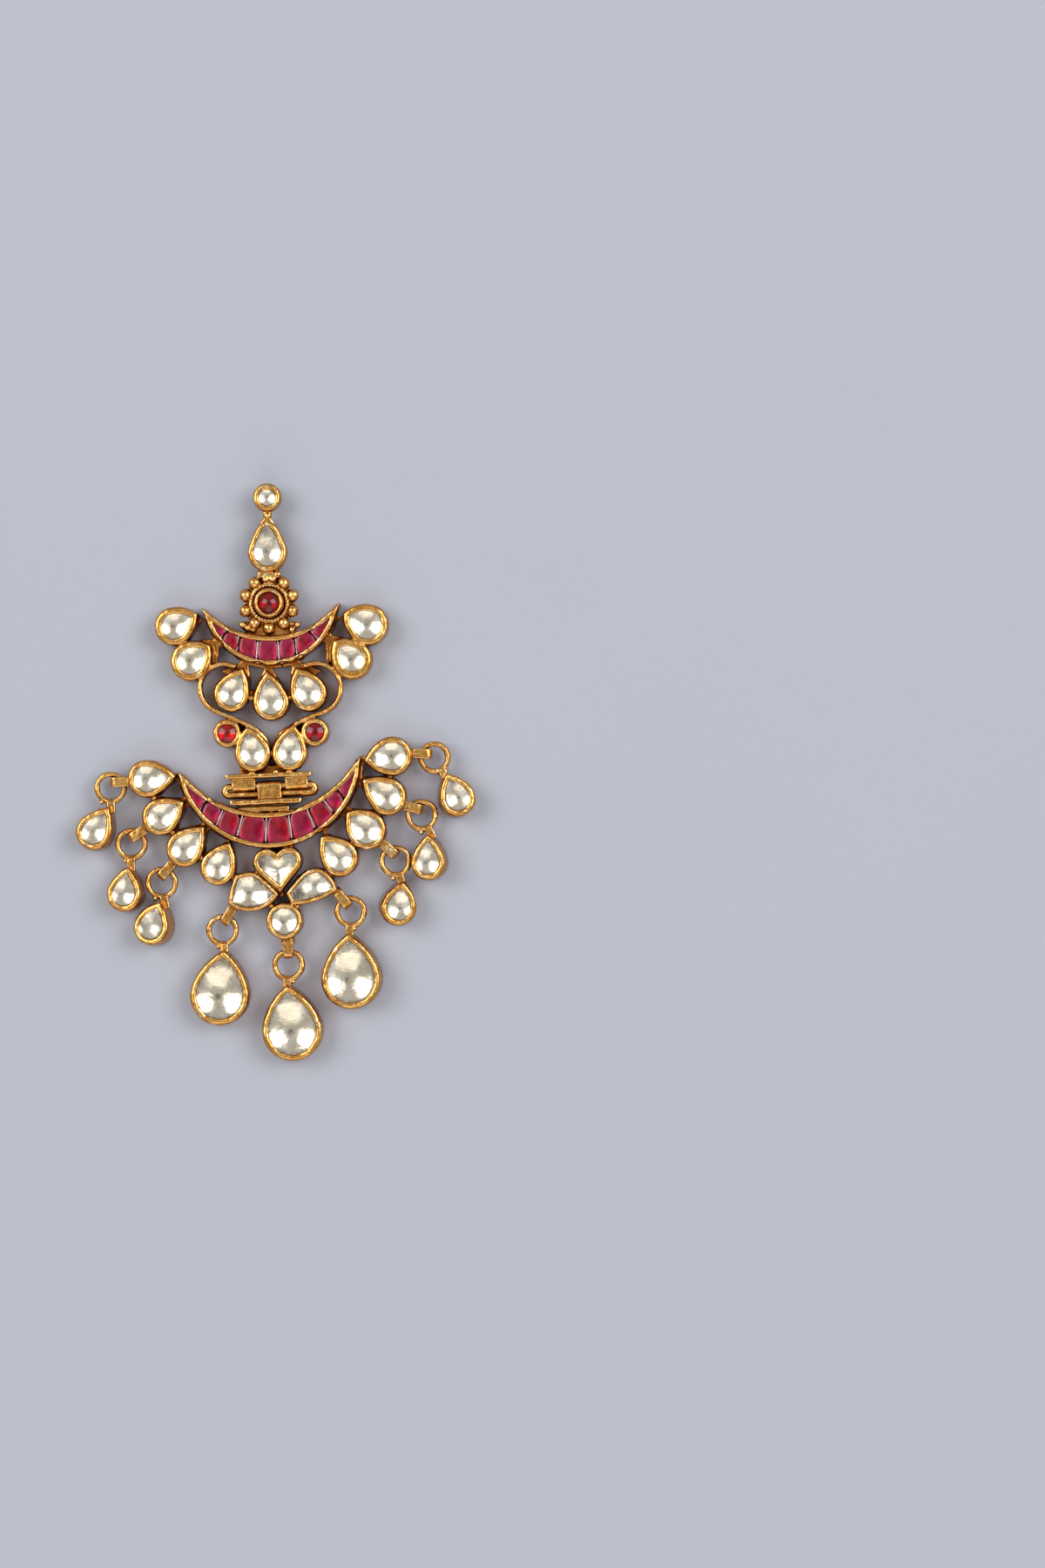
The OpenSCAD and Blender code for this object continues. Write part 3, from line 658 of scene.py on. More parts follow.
def widest_circle(piece, up):
    """Middle and radius of the largest circle inside a flat outline"""
    face = piece.data.polygons[0]
    ring = [piece.data.vertices[i].co.copy() for i in face.vertices]
    across = up.orthogonal().normalized()
    along = up.cross(across)
    turns = [math.tau * i / 12 for i in range(12)]
    ways = [across * math.cos(turn) + along * math.sin(turn) for turn in turns]
    lengths = [(here - ring[i - 1]).length for i, here in enumerate(ring)]
    middles = [(here + ring[i - 1]) / 2 * lengths[i] for i, here in enumerate(ring)]
    middle = sum(middles, Vector()) / sum(lengths)
    room = nearest_side(middle, ring)
    moved = True
    while moved:
        moved = False
        for share in CIRCLE_STEPS:
            for way in ways:
                place = middle + way * room * share
                there = nearest_side(place, ring)
                if there > room + CIRCLE_GAIN:
                    middle, room, moved = place, there, True
    return middle, room


def nearest_side(place, ring):
    """Distance from a place to the nearest side of an outline"""
    nearest = []
    for i, here in enumerate(ring):
        side = ring[(i + 1) % len(ring)] - here
        share = max(0, min(1, (place - here).dot(side) / side.length_squared))
        nearest.append((here + side * share - place).length)
    return min(nearest)


def ball(x, y, z, r, segments=20, rings=12):
    """Granule of gold, in millimetres"""
    bpy.ops.mesh.primitive_uv_sphere_add(
        segments=segments, ring_count=rings, radius=r * MM, location=(x * MM, y * MM, z * MM))
    return added()


def flower_plate():
    """Thin plate that carries the granules round the flower"""
    bpy.ops.mesh.primitive_cylinder_add(
        vertices=48, radius=PLATE_R * MM, depth=PLATE_DEPTH * MM,
        location=(FLOWER[0] * MM, FLOWER[1] * MM, PLATE_Z * MM))
    return added()


def scroll_wire(run):
    """Round wire along the upper edge of a scroll"""
    curve = bpy.data.curves.new("scroll", "CURVE")
    curve.dimensions = "3D"
    curve.bevel_depth = SCROLL_HALF * MM
    curve.bevel_resolution = 3
    curve.resolution_u = 6
    curve.use_fill_caps = True
    spline = curve.splines.new("BEZIER")
    spline.bezier_points.add(len(run) - 1)
    for point, (x, y) in zip(spline.bezier_points, run):
        point.co = (x * MM, y * MM, SCROLL_Z * MM)
        point.handle_left_type = "AUTO"
        point.handle_right_type = "AUTO"
    wire = bpy.data.objects.new("scroll", curve)
    bpy.context.scene.collection.objects.link(wire)
    only(wire)
    bpy.ops.object.convert(target="MESH")
    return bpy.context.active_object


def trimmed(node, name, height, up):
    """Copy of a packed drop setting, cut off flat under its rim"""
    piece = copy_of(node, name)
    with editing(piece):
        pick_all()
        bpy.ops.mesh.bisect(
            plane_co=up * height, plane_no=up, use_fill=True, clear_outer=True,
            threshold=MERGE / 10)
    return piece


def lowered(node, name, height):
    """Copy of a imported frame, its rims lowered to a height"""
    piece = copy_of(node, name)
    with editing(piece):
        pick("verts", lambda vert: vert.co.z > height)
        bpy.ops.transform.resize(value=(1, 1, 0), center_override=(0, 0, height))
    return piece


def noise_texture(name, size):
    texture = bpy.data.textures.get(name) or bpy.data.textures.new(name, "CLOUDS")
    texture.noise_scale = size
    texture.noise_depth = 1
    return texture


def fuse(pieces, name, voxel, faces):
    """Solders pieces into one skin, softens it, and gives it the unevenness of hand work"""
    gold = gold_work()
    only(*pieces)
    bpy.ops.object.join()
    piece = named(bpy.context.active_object, name)
    apply_modifier(piece, "REMESH", mode="VOXEL", voxel_size=voxel)
    apply_modifier(piece, "SMOOTH", factor=0.5, iterations=2)
    apply_modifier(
        piece, "DISPLACE", texture=noise_texture("lumps", gold.lump_size),
        texture_coords="LOCAL", strength=gold.lump, mid_level=0.5 - gold.swell / gold.lump)
    apply_modifier(
        piece, "DISPLACE", texture=noise_texture("file marks", gold.grain_size),
        texture_coords="LOCAL", strength=gold.grain, mid_level=0.5)
    triangles = 2 * len(piece.data.polygons)
    if triangles > faces:
        apply_modifier(piece, "DECIMATE", ratio=faces / triangles)
    smooth(piece)
    return piece


def area_of(piece):
    return sum(face.area for face in piece.data.polygons)


class Finish:
    """Shader that is put together node by node, of a material or of the world"""

    def __init__(self, owner):
        owner.use_nodes = True
        self.owner = owner
        self.tree = owner.node_tree
        self.tree.nodes.clear()

    def add(self, kind, inputs=None, **settings):
        """Adds a node. An input is a value, or another node's socket that is linked to it"""
        node = self.tree.nodes.new("ShaderNode" + kind)
        for name, value in settings.items():
            setattr(node, name, value)
        for name, value in (inputs or {}).items():
            if isinstance(value, bpy.types.NodeSocket):
                self.tree.links.new(value, node.inputs[name])
            else:
                node.inputs[name].default_value = value
        return node

    def noise(self, place, size, detail=2.0, roughness=0.5, distortion=0.0):
        """Cloudy pattern of a size in metres"""
        return self.add("TexNoise", {
            "Vector": place, "Scale": 1 / size, "Detail": detail, "Roughness": roughness,
            "Distortion": distortion}).outputs["Fac"]

    def span(self, value, low, high, start=0.0, end=1.0):
        """Value stretched from low and high to start and end, and held there"""
        return self.add("MapRange", {
            "Value": value, "From Min": low, "From Max": high, "To Min": start,
            "To Max": end}, interpolation_type="SMOOTHSTEP").outputs["Result"]

    def mix(self, share, first, second):
        return self.add("Mix", {0: share, 6: first, 7: second}, data_type="RGBA").outputs[2]

    def math(self, operation, first, second):
        return self.add("Math", {0: first, 1: second}, operation=operation).outputs[0]

    def bump(self, height, depth, strength=1.0, normal=None):
        inputs = {"Height": height, "Distance": depth, "Strength": strength}
        if normal:
            inputs["Normal"] = normal
        return self.add("Bump", inputs).outputs["Normal"]

    def place(self):
        return self.add("TexCoord").outputs["Object"]

    def sheen(self, grazing, straight):
        """Share of the light that a polished surface throws back, as seen from outside"""
        facing = self.add("LayerWeight", {"Blend": 0.5}).outputs["Facing"]
        share = self.math("MULTIPLY", self.math("POWER", facing, 4.0), grazing)
        outside = self.math("SUBTRACT", 1.0, self.add("NewGeometry").outputs["Backfacing"])
        return self.math("MULTIPLY", self.math("ADD", share, straight), outside)

    def polished(self, sheen, body, gleam):
        """Surface that throws back a share of the light over its body"""
        shader = self.add("MixShader", {0: sheen, 1: body.outputs[0], 2: gleam.outputs[0]})
        return self.show(shader.outputs[0])

    def show(self, shader):
        self.add("OutputMaterial", {"Surface": shader})
        return self.owner


def rgba(colour):
    return (*colour, 1.0)


def material(name):
    """Empty material, ready for its nodes"""
    return Finish(bpy.data.materials.new(name))


# Reddest tint of a ruby's glass
RED_GLASS = (0.56, 0.12, 0.15)


def gold_finish(name):
    """Antique gold: yellow and orange patches, burnished edges, brown crevices, fine marks and painted
    shade
    """
    look = material(name)
    tint = colours()
    place = look.place()
    patches = look.span(look.noise(place, 1.5 * MM, 3), 0.38, 0.62)
    specks = look.noise(place, 0.25 * MM, 3, 0.6)
    body = look.mix(patches, rgba(tint.gold), rgba(tint.deep_gold))
    near = look.add("AmbientOcclusion", {"Distance": 0.7 * MM}, samples=6).outputs["AO"]
    wide = look.add("AmbientOcclusion", {"Distance": 3.0 * MM}, samples=6).outputs["AO"]
    slope = look.add("SeparateXYZ", {
        "Vector": look.add("TexCoord").outputs["Normal"]}).outputs["Z"]
    height = look.add("SeparateXYZ", {"Vector": place}).outputs["Z"]
    # Painted shade, mixed to the shaded gold: low on the frame except its back, and deep between
    # settings
    low_shade = look.span(height, 1.9 * MM, 0.9 * MM)
    low_shade = look.math("MULTIPLY", low_shade, look.span(slope, -0.9, -0.4))
    painted_shade = look.math("MAXIMUM", look.span(wide, 0.80, 0.35), low_shade)
    hidden = look.span(near, 0.86, 0.40)
    stained = look.math("MULTIPLY", hidden, look.span(specks, 0.2, 0.6, 0.7, 1.0))
    edge = look.add("NewGeometry").outputs["Pointiness"]
    worn = look.math("MULTIPLY", look.span(edge, 0.515, 0.58), look.span(specks, 0.3, 0.55, 0.4))
    # Painted shade on upright walls, the darker the more they face sideways
    wall = look.span(look.math("ABSOLUTE", slope, 0.0), 0.80, 0.25, 0.0, 0.70)
    metal = look.mix(worn, body, rgba(tint.pale_gold))
    metal = look.mix(look.math("MAXIMUM", painted_shade, wall), metal, rgba(tint.shaded_gold))
    metal = look.mix(stained, metal, rgba(tint.tarnish))
    gloss = look.span(specks, 0.3, 0.7, 0.20, 0.34)
    gloss = look.math("ADD", gloss, look.math("MULTIPLY", stained, 0.25))
    marks = look.bump(look.noise(place, 0.12 * MM, 3, 0.65), 0.0035 * MM)
    dents = look.bump(look.noise(place, 0.42 * MM, 2), 0.022 * MM, 1.0, marks)
    shader = look.add("BsdfPrincipled", {
        "Base Color": metal, "Metallic": 1.0, "Roughness": gloss, "Normal": dents})
    return look.show(shader.outputs["BSDF"])


# Share of each colour that the duller patches of a foil keep, and its painted shade along the lip
FOIL_DULL = (0.94, 0.87, 0.78)
FOIL_SHADE = (0.24, 0.15, 0.07)
# Share of the light that the cloudy parts of a stone let through, and that the floor's throw back
CLOUDY = 0.86
FLOOR_CLOUDY = 0.985


def foil_finish(name, tint, shine, edge_shade=False):
    """Crinkled metal foil, as it lies behind a stone, with painted shade in bits along the lip if told
    """
    look = material(name)
    place = look.place()
    blotches = look.span(look.noise(place, 0.9 * MM, 3, 0.6), 0.40, 0.75)
    dull = tuple(own * part for own, part in zip(tint, FOIL_DULL))
    body = look.mix(blotches, rgba(tint), rgba(dull))
    if edge_shade:
        # Painted shade in bits where the foil lies near the lip
        inwards = look.add("Attribute", attribute_name="inwards").outputs["Fac"]
        bits = look.span(look.noise(place, 0.45 * MM, 3, 0.6), 0.42, 0.60, 0.0, 0.5)
        shade = look.math("MULTIPLY", look.span(inwards, 0.24, 0.10), bits)
        body = look.mix(shade, body, rgba(FOIL_SHADE))
    folds = look.bump(look.noise(place, 1.1 * MM, 2, 0.5, 0.4), 0.050 * MM)
    crinkles = look.bump(look.noise(place, 0.30 * MM, 3, 0.6), 0.006 * MM, 1.0, folds)
    shader = look.add("BsdfPrincipled", {
        "Base Color": body, "Metallic": 1.0, "Roughness": shine, "Normal": crinkles})
    return look.show(shader.outputs["BSDF"])


def clear_finish(name, tint):
    """Polished top of a stone, which lets the foil below it show"""
    look = material(name)
    place = look.place()
    clouds = look.span(look.noise(place, 0.8 * MM, 3, 0.6), 0.40, 0.72)
    cloudy = tuple(part * CLOUDY for part in tint)
    glass = look.add("BsdfTransparent", {"Color": look.mix(clouds, rgba(tint), rgba(cloudy))})
    scratches = look.bump(look.noise(place, 0.35 * MM, 2), 0.006 * MM)
    gleam = look.add("BsdfGlossy", {"Roughness": 0.03, "Normal": scratches})
    return look.polished(look.sheen(0.75, 0.045), glass, gleam)


def ruby_finish(name, colour, glass_tint, milkiness):
    """Ruby over its foil, redder and darker in places, and a little clouded"""
    look = material(name)
    place = look.place()
    reds = look.span(look.noise(place, 2.6 * MM, 2), 0.40, 0.62)
    depth = look.span(look.noise(place, 0.7 * MM, 3, 0.6), 0.35, 0.7)
    redder = rgba(colours().red_ruby)
    cloud = look.mix(depth, look.mix(reds, rgba(colour), redder), rgba([0.5 * c for c in colour]))
    milk = look.add("BsdfDiffuse", {"Color": cloud})
    red_glass = tuple(min(own, red) for own, red in zip(glass_tint, RED_GLASS))
    glass = look.add("BsdfTransparent", {"Color": look.mix(reds, rgba(glass_tint), rgba(red_glass))})
    body = look.add("MixShader", {0: milkiness, 1: glass.outputs[0], 2: milk.outputs[0]})
    gleam = look.add("BsdfGlossy", {"Roughness": 0.05})
    return look.polished(look.sheen(0.6, 0.05), body, gleam)


def floor_finish(name):
    """Smooth pale paper"""
    look = material(name)
    place = look.place()
    base = colours().floor
    darker = tuple(part * FLOOR_CLOUDY for part in base)
    cloud = look.noise(place, 30 * MM, 3)
    body = look.mix(cloud, rgba(base), rgba(darker))
    tooth = look.bump(look.noise(place, 0.6 * MM, 3, 0.7), 0.02 * MM)
    shader = look.add("BsdfPrincipled", {
        "Base Color": body, "Roughness": 0.85, "Specular IOR Level": 0.15, "Normal": tooth})
    return look.show(shader.outputs["BSDF"])


def finish(name):
    """A finish by its name, made when it is first asked for"""
    tint = colours()
    maker, *values = {
        "antique gold": (gold_finish,),
        "silver foil": (foil_finish, tint.foil, 0.20, True),
        "pink foil": (foil_finish, (0.88, 0.74, 0.76), 0.30),
        "clear stone": (clear_finish, (0.98, 0.96, 0.91)),
        "raspberry ruby": (ruby_finish, tint.ruby, tint.ruby_glass, 0.36),
        "red ruby": (ruby_finish, tint.red_ruby, (0.66, 0.035, 0.06), 0.12),
        "dark ruby": (ruby_finish, tint.red_ruby, (0.46, 0.025, 0.06), 0.10),
        "pale paper": (floor_finish,),
    }[name]
    return bpy.data.materials.get(name) or maker(name, *values)


def wear(piece, *names):
    """Gives a piece its finishes"""
    piece.data.materials.clear()
    for name in names:
        piece.data.materials.append(finish(name))


def bowl(height):
    """Rings of a round bowl or dome of a height, from its edge inwards"""
    return [(left, height * (1 - left * left)) for left in RINGS]


def lens(node, name, crown, dish, clear, foil):
    """Stone with a domed top that shows the dished foil on its underside"""
    piece, up, level, high, corners, (middle, half) = outline_of(node, name)
    girdle = high - crown - EDGE_DROP
    depth = stone_cut().dish * half if dish is None else dish
    dome = stone_cut().dome if crown == CROWN else crown + EDGE_DROP
    with editing(piece):
        shape().verts.layers.float.new("inwards")
        pick_all()
        shift(up * (girdle - level))
        bpy.ops.mesh.select_mode(type="FACE")
        bpy.ops.mesh.extrude_region_move(TRANSFORM_OT_translate={"value": up * GIRDLE})
        draw_in(up, bowl(dome), middle, half)
        bottom = min(face.calc_center_median().dot(up) for face in shape().faces)
        pick("faces", lambda face: face.calc_center_median().dot(up) < bottom + MERGE)
        draw_in(-up, bowl(depth), middle, half)
        pick("verts", lambda vert: vert.co.dot(up) > girdle + GIRDLE + HAIR)
        bpy.ops.mesh.vertices_smooth(factor=0.5, repeat=POLISHING)
        pick("verts", lambda vert: vert.co.dot(up) < girdle - HAIR)
        bpy.ops.mesh.vertices_smooth(factor=0.5, repeat=POLISHING)
        press_hollow(up, girdle, middle, half, depth)
        face_outwards()
        crease_corners(corners, up, STONE_CREASE)
    subdivide(piece, 2)
    smooth(piece)
    wear(piece, clear, foil)
    for face in piece.data.polygons:
        face.material_index = 1 if face.center.dot(up) < girdle + HAIR else 0
    return piece


def press_hollow(up, girdle, middle, half, depth):
    """Presses the selected foil into a round hollow under the middle of its stone"""
    mesh = shape()
    for vert in mesh.verts:
        if vert.select:
            apart = vert.co - middle
            apart -= up * apart.dot(up)
            share = min(1, apart.length / (half * HOLLOW))
            drop = girdle - vert.co.dot(up)
            wanted = HOLLOW_PART * depth * (1 - share * share) ** 2 + (1 - HOLLOW_PART) * drop
            vert.co += up * (drop - wanted)
    bmesh.update_edit_mesh(bpy.context.edit_object.data)


def pick_end(middle, way):
    """Selects the flat end of the stone that stands over or under a place"""
    def apart(face):
        offset = face.calc_center_median() - middle
        return (offset - way * offset.dot(way)).length

    ends = [face for face in shape().faces if face.normal.dot(way) > FLAT_END]
    nearest = min(ends, key=apart)
    pick("faces", lambda face: face == nearest)


def draw_in(way, rings, middle, half=None):
    """Draws the selected face in ring by ring, to a share of itself and a height, and closes it.

    With the half width of the stone, each ring is rounder than the one outside it."""
    done = 1.0
    risen = 0.0
    for left, rise in rings:
        bpy.ops.mesh.extrude_region_move(TRANSFORM_OT_translate={"value": way * (rise - risen)})
        centre = flat_centre(way, middle)
        bpy.ops.transform.resize(value=(left / done,) * 3, center_override=centre)
        if half:
            share = min(ROUNDEST, ROUNDER * (1 - left))
            round_off(centre, half * left, share, (1 - left) * half / MM)
        done = left
        risen = rise
    bpy.ops.mesh.poke()


def round_off(centre, r, share, inwards):
    """Draws the selected ring some way towards a circle, and notes how far inwards it lies"""
    mesh = shape()
    noted = mesh.verts.layers.float["inwards"]
    for vert in mesh.verts:
        if vert.select:
            apart = vert.co - centre
            vert.co = centre + apart * (1 - share + share * r / apart.length)
            vert[noted] = inwards
    bmesh.update_edit_mesh(bpy.context.edit_object.data)


def flat_centre(way, middle):
    """The middle, moved along a direction to the height of what is selected"""
    here = [v.co for v in shape().verts if v.select]
    height = sum(co.dot(way) for co in here) / len(here)
    return middle + way * (height - middle.dot(way))


def settle(piece, body, slot, *nodes):
    """Says what a piece rides on and hides what it stands for; what it takes its finish from is not used
    """
    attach(piece, body)
    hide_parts(*nodes)


def gild(piece, body, node):
    """Makes a piece of gold, and says what it rides on and stands for"""
    wear(piece, "antique gold")
    settle(piece, body, "gold", node)


class EARRING_OT_upper_frame(bpy.types.Operator):
    """Solders the upper settings, scrolls and flower into one frame of gold"""

    bl_idname = "earring.upper_frame"
    bl_label = "Upper frame"

    def execute(self, context):
        parts = [lowered("upper_frame", "gold_upper_frame", TRIM_Z)]
        for node in UPPER_STONES + SMALL_RUBIES:
            parts.append(setting(node, "cup", CUP_DEPTH))
        for node in TOP_STONES:
            parts.append(setting(node, "cup", COLUMN_DEPTH))
        parts.append(setting("flower_ruby", "cup", FLOWER_DEPTH, FLOWER_CROWN))
        parts.append(setting("upper_ruby_row", "cup", CUP_DEPTH, 0.0, ROW_SEAT, ROW_LIP))
        for i in range(1, GRANULE_PLACES):
            turn = math.radians(90 + 360 * i / GRANULE_PLACES)
            parts.append(ball(
                FLOWER[0] + GRANULE_RING * math.cos(turn),
                FLOWER[1] + GRANULE_RING * math.sin(turn), GRANULE_Z, GRANULE_R))
        parts.append(flower_plate())
        for x, y, r, z in FLOWER_BEADS + SOLDER:
            parts.append(ball(x, y, z, r))
        for run in SCROLL_RUNS:
            parts.append(scroll_wire(run))
        gold = gold_work()
        piece = fuse(parts, "gold_upper_frame", gold.voxel, gold.frame_faces)
        gild(piece, "upper", "upper_frame")
        return {"FINISHED"}


class EARRING_OT_flower_wire(bpy.types.Operator):
    """Twists the fine wire that rings the flower's setting"""

    bl_idname = "earring.flower_wire"
    bl_label = "Flower wire"

    def execute(self, context):
        x, y = FLOWER
        bpy.ops.mesh.primitive_uv_sphere_add(
            segments=12, ring_count=8, radius=WIRE_R * MM,
            location=((x + WIRE_RING) * MM, y * MM, WIRE_Z * MM),
            rotation=(math.radians(WIRE_SLANT), 0, 0), scale=WIRE_STRETCH)
        piece = named(added(), "gold_flower_wire")
        with editing(piece):
            pick_all()
            bpy.ops.mesh.spin(
                steps=WIRE_TWISTS - 1, dupli=True,
                angle=math.tau * (WIRE_TWISTS - 1) / WIRE_TWISTS,
                center=(x * MM, y * MM, 0), axis=(0, 0, 1))
        smooth(piece)
        gild(piece, "upper", "upper_frame")
        return {"FINISHED"}


class EARRING_OT_lower_frame(bpy.types.Operator):
    """Solders the lower settings, hinge plates and loops into one frame of gold"""

    bl_idname = "earring.lower_frame"
    bl_label = "Lower frame"

    def execute(self, context):
        parts = [lowered("lower_frame", "gold_lower_frame", TRIM_Z)]
        x, y, r, height = HEART_TIP_SOLDER
        place = Vector((x * MM, y * MM))
        with editing(parts[0]):
            pick("verts", lambda vert: vert.co.z > height * MM
                 and (vert.co.xy - place).length < r * MM)
            bpy.ops.transform.resize(value=(1, 1, 0), center_override=(0, 0, height * MM))
        for node in LOWER_STONES:
            parts.append(setting(node, "cup", CUP_DEPTH))
        parts.append(setting("lower_ruby_row", "cup", CUP_DEPTH, 0.0, ROW_SEAT, ROW_LIP))
        gold = gold_work()
        piece = fuse(parts, "gold_lower_frame", gold.voxel, gold.frame_faces)
        gild(piece, "lower", "lower_frame")
        return {"FINISHED"}


class EARRING_OT_hinge_metal(bpy.types.Operator):
    """Finishes the hinge link and the ear post"""

    bl_idname = "earring.hinge_metal"
    bl_label = "Hinge link and ear post"

    def execute(self, context):
        gold = gold_work()
        wear(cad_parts["ear_post"], "antique gold")
        link = copy_of("hinge_link", "gold_hinge_link")
        link = fuse([link], "gold_hinge_link", gold.drop_voxel, LINK_FACES)
        apply_modifier(link, "DISPLACE", strength=gold.link_swell, mid_level=0)
        gild(link, "lower", "hinge_link")
        return {"FINISHED"}


class EARRING_OT_drop_settings(bpy.types.Operator):
    """Models the nine drop settings with their rings"""

    bl_idname = "earring.drop_settings"
    bl_label = "Drop settings"

    def execute(self, context):
        gold = gold_work()
        for drop, ring_x, ring_y in DROP_RINGS:
            stone = f"drop_stone_{drop}"
            node = f"drop_setting_{drop}"
            up = stone_up(stone)
            rim = reach(stone, up)[1] - CROWN
            base = trimmed(node, f"gold_{node}", rim - CUP_DEPTH + TRIM_Z, up)
            parts = [base, setting(stone, "cup", CUP_DEPTH)]
            parts += solder_beads(stone, ring_x, ring_y)
            faces = int(gold.drop_faces * area_of(base) / MM ** 2)
            piece = fuse(parts, f"gold_{node}", gold.drop_voxel, faces)
            gild(piece, "lower", node)
        return {"FINISHED"}


def solder_beads(stone, ring_x, ring_y):
    """Two beads of solder in the corners between a ring and its neck"""
    low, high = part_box(stone)
    ring = Vector((ring_x, ring_y)) * MM
    way = ((low + high).xy / 2 - ring).normalized()
    side = Vector((-way.y, way.x))
    beads = []
    for turn in (-1, 1):
        place = (ring + way * BEAD_WAY * MM + side * turn * BEAD_SIDE * MM) / MM
        beads.append(ball(place.x, place.y, BEAD_Z, BEAD_R, segments=12, rings=8))
    return beads


class EARRING_OT_clear_stones(bpy.types.Operator):
    """Cuts the clear stones, each a low dome over its dished foil"""

    bl_idname = "earring.clear_stones"
    bl_label = "Clear stones"

    def execute(self, context):
        groups = [("upper", TOP_STONES + UPPER_STONES), ("lower", LOWER_STONES)]
        groups.append(("lower", [f"drop_stone_{drop}" for drop, _, _ in DROP_RINGS]))
        for body, nodes in groups:
            for node in nodes:
                piece = lens(node, f"clear_{node}", CROWN, None, "clear stone", "silver foil")
                settle(piece, body, "clear_stone", node)
        return {"FINISHED"}


class EARRING_OT_round_rubies(bpy.types.Operator):
    """Cuts the three round rubies"""

    bl_idname = "earring.round_rubies"
    bl_label = "Round rubies"

    def execute(self, context):
        for node, crown, dish, clear in ROUND_RUBIES:
            piece = lens(node, f"cut_{node}", crown, dish, clear, "pink foil")
            settle(piece, "upper", "ruby", node)
        return {"FINISHED"}


def folded_foil(ends, rim):
    """Upright fold of foil between two rubies, a little proud of their edges and rounded on top"""
    x0, y0, x1, y1 = (end * MM for end in ends)
    span = math.hypot(x1 - x0, y1 - y0)
    top = rim - stone_cut().foil_drop
    bpy.ops.mesh.primitive_cube_add(
        size=1, location=((x0 + x1) / 2, (y0 + y1) / 2, top - FOLD_DEPTH / 2),
        rotation=(0, 0, math.atan2(y1 - y0, x1 - x0)),
        scale=(span, stone_cut().foil_width, FOLD_DEPTH))
    fold = added()
    with editing(fold):
        pick_all()
        bpy.ops.mesh.subdivide(number_cuts=FOLD_CUTS, smoothness=0)
    apply_modifier(
        fold, "DISPLACE", texture=noise_texture("folds", FOLD_CRINKLE_SIZE),
        texture_coords="LOCAL", strength=FOLD_CRINKLE, mid_level=0.5)
    smooth(fold)
    return fold


class EARRING_OT_ruby_rows(bpy.types.Operator):
    """Cuts the two rows of rubies, set edge to edge on foil"""

    bl_idname = "earring.ruby_rows"
    bl_label = "Ruby rows"

    def execute(self, context):
        for body in ("upper", "lower"):
            node = f"{body}_ruby_row"
            rim = reach(node, UP)[1]
            piece = stone_face(node, f"cut_{node}", rim - ROW_LEVEL, UP)
            middles = [face.center.copy() for face in piece.data.polygons]
            with editing(piece):
                pick_all()
                bpy.ops.mesh.select_mode(type="FACE")
                bpy.ops.mesh.extrude_region_move(TRANSFORM_OT_translate={"value": UP * ROW_WALL})
                face_outwards()
                pick("faces", lambda face: abs(face.normal.z) < WALL)
                bpy.ops.transform.shrink_fatten(value=ROW_SPREAD)
                for middle in middles:
                    pick_end(middle, UP)
                    draw_in(UP, PILLOW, middle)
                    pick_end(middle, -UP)
                    draw_in(-UP, PAVILION, middle)
                face_outwards()
            subdivide(piece, 1)
            smooth(piece)
            wear(piece, "raspberry ruby", "pink foil")
            for face in piece.data.polygons:
                face.material_index = 1 if face.center.z < rim - ROW_LEVEL - 2 * HAIR else 0
            settle(piece, body, "ruby", node)
            foils = [folded_foil(ends, rim) for ends in ROW_FOILS[body]]
            only(*foils)
            bpy.ops.object.join()
            foil = named(context.active_object, f"foil_{node}")
            wear(foil, "pink foil")
            settle(foil, body, "ruby", node)
        return {"FINISHED"}


class EARRING_OT_studio(bpy.types.Operator):
    """Lays the floor and sets the soft lights and the camera"""

    bl_idname = "earring.studio"
    bl_label = "Studio"

    def execute(self, context):
        studio = context.scene.earring_studio
        bpy.ops.mesh.primitive_plane_add(size=FLOOR_SIDE, location=(0, 0, FLOOR_Z))
        floor = named(added(), "floor")
        wear(floor, "pale paper")
        far = studio.light_distance
        for name, turn, rise, side, power, tint in LAMPS:
            softbox(name, turn, rise, far, side * far, getattr(studio, power), tint)
        paint_sky(studio.sky)
        camera = bpy.data.cameras.new("camera")
        camera.lens = studio.lens
        camera.sensor_width = SENSOR
        camera.clip_start, camera.clip_end = CLIP
        stand = bpy.data.objects.new("camera", camera)
        context.scene.collection.objects.link(stand)
        stand.location = (studio.camera_x, studio.camera_y, studio.camera_height)
        context.scene.camera = stand
        context.scene.view_settings.view_transform = "Standard"
        return {"FINISHED"}


def softbox(name, turn, rise, distance, size, power, colour):
    """Square area light that looks at the earring from a turn about the vertical and a rise"""
    light = bpy.data.lights.new(name, "AREA")
    light.shape = "SQUARE"
    light.size = size
    light.energy = power
    light.color = colour
    stand = bpy.data.objects.new(name, light)
    bpy.context.scene.collection.objects.link(stand)
    turn = math.radians(turn)
    rise = math.radians(rise)
    way = Vector((math.cos(turn) * math.cos(rise), math.sin(turn) * math.cos(rise), math.sin(rise)))
    stand.location = way * distance
    stand.rotation_euler = way.to_track_quat("Z", "Y").to_euler()


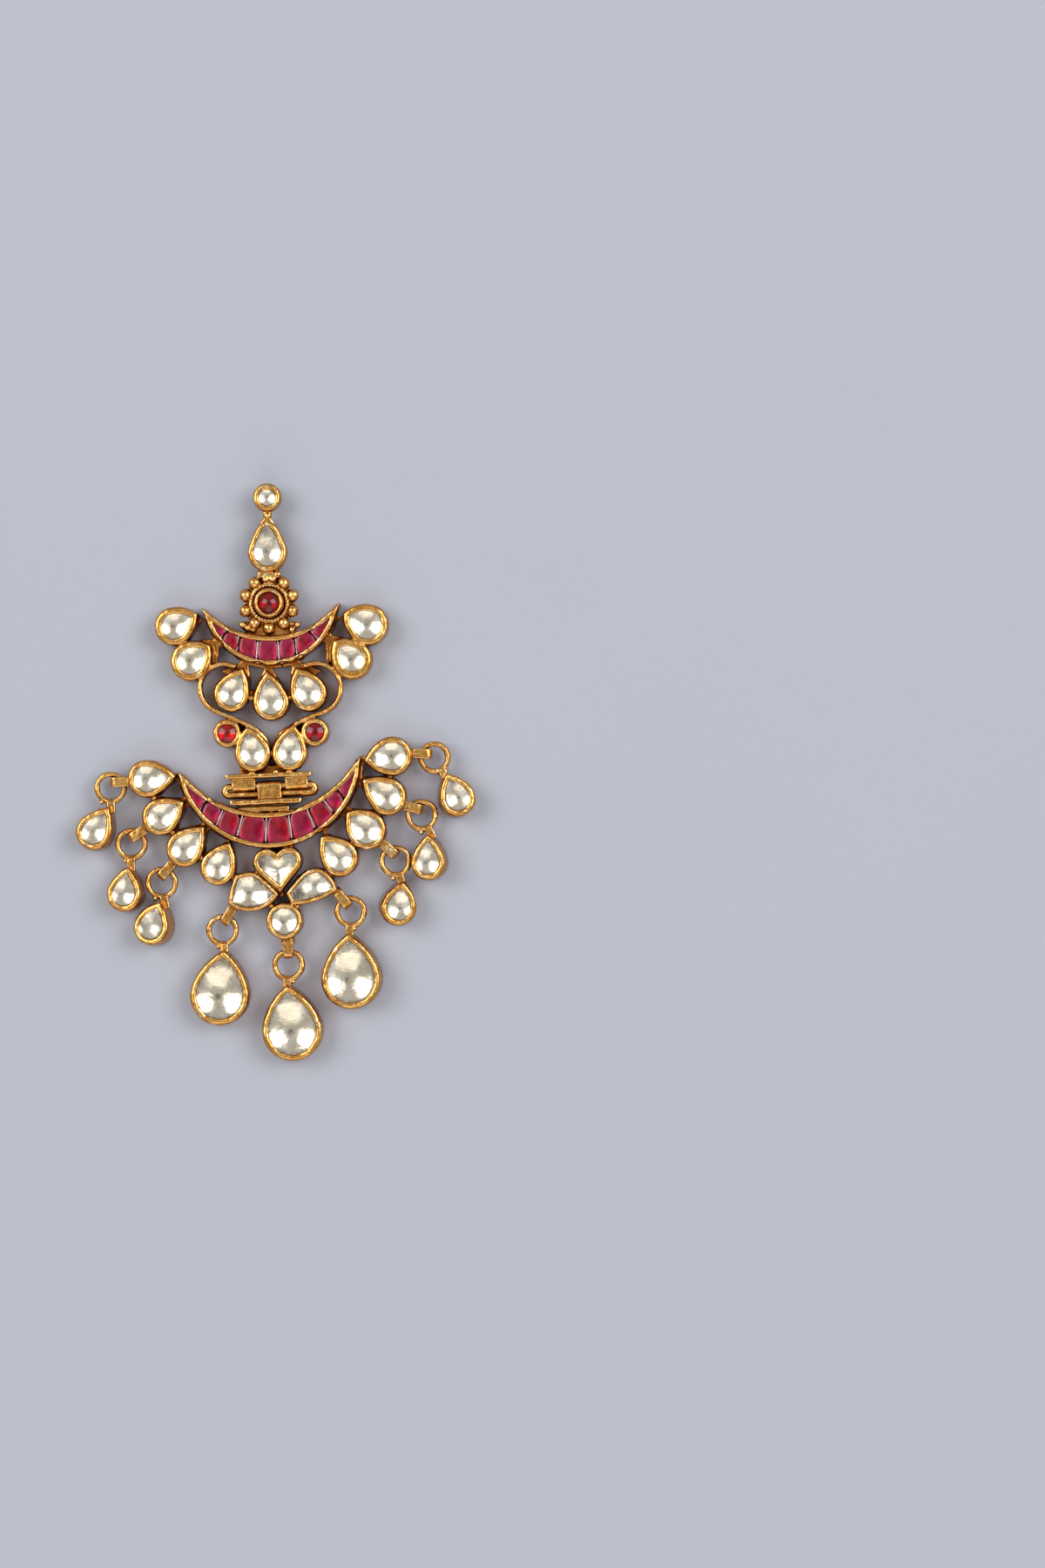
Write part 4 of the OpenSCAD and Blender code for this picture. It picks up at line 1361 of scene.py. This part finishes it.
def paint_sky(strength):
    """Light from all around, dim near the floor, with a dark lens high over the earring"""
    world = bpy.data.worlds.new("sky")
    bpy.context.scene.world = world
    look = Finish(world)
    way = look.add("TexCoord").outputs["Generated"]
    ramp = look.add("ValToRGB", {"Fac": look.add("SeparateXYZ", {0: way}).outputs["Z"]})
    for share, _ in SKY[1:-1]:
        ramp.color_ramp.elements.new(share)
    for stop, (_, shade) in zip(ramp.color_ramp.elements, SKY):
        stop.color = shade
    studio = bpy.context.scene.earring_studio
    dark = Vector((studio.camera_x, studio.camera_y + LENS_PAST, studio.camera_height)).normalized()
    near = look.add("VectorMath", {0: way, 1: dark}, operation="DOT_PRODUCT").outputs["Value"]
    edge, core = (math.cos(math.radians(turn)) for turn in LENS_SHADE)
    spot = look.add("MapRange", {"Value": near, "From Min": edge, "From Max": core})
    shade = look.mix(spot.outputs["Result"], ramp.outputs["Color"], LENS_COLOUR)
    light = look.add("Background", {"Color": shade, "Strength": strength})
    look.add("OutputWorld", {"Surface": light.outputs[0]})


class EARRING_PT_sidebar(bpy.types.Panel):
    """Sizes, colours and steps of the earring"""

    bl_idname = "EARRING_PT_sidebar"
    bl_label = "Hinged crescent earring"
    bl_space_type = "VIEW_3D"
    bl_region_type = "UI"
    bl_category = "Earring"

    def draw(self, context):
        for group in PROPERTY_GROUPS:
            box = self.layout.box()
            for name in PROPERTY_GROUPS[group].__annotations__:
                box.prop(getattr(context.scene, group), name)
        for operator in OPERATORS:
            self.layout.operator(operator.bl_idname)


PROPERTY_GROUPS = {
    "earring_gold": EarringGold,
    "earring_stones": EarringStones,
    "earring_colours": EarringColours,
    "earring_studio": EarringStudio,
}
OPERATORS = [
    EARRING_OT_upper_frame,
    EARRING_OT_flower_wire,
    EARRING_OT_lower_frame,
    EARRING_OT_hinge_metal,
    EARRING_OT_drop_settings,
    EARRING_OT_clear_stones,
    EARRING_OT_round_rubies,
    EARRING_OT_ruby_rows,
    EARRING_OT_studio,
]


def register():
    for kind in list(PROPERTY_GROUPS.values()) + OPERATORS + [EARRING_PT_sidebar]:
        bpy.utils.register_class(kind)
    for name, group in PROPERTY_GROUPS.items():
        setattr(bpy.types.Scene, name, PointerProperty(type=group))


def unregister():
    for name in PROPERTY_GROUPS:
        delattr(bpy.types.Scene, name)
    for kind in reversed(list(PROPERTY_GROUPS.values()) + OPERATORS + [EARRING_PT_sidebar]):
        bpy.utils.unregister_class(kind)


def main():
    register()
    for operator in OPERATORS:
        group, name = operator.bl_idname.split(".")
        getattr(getattr(bpy.ops, group), name)()


if __name__ == "__main__":
    main()
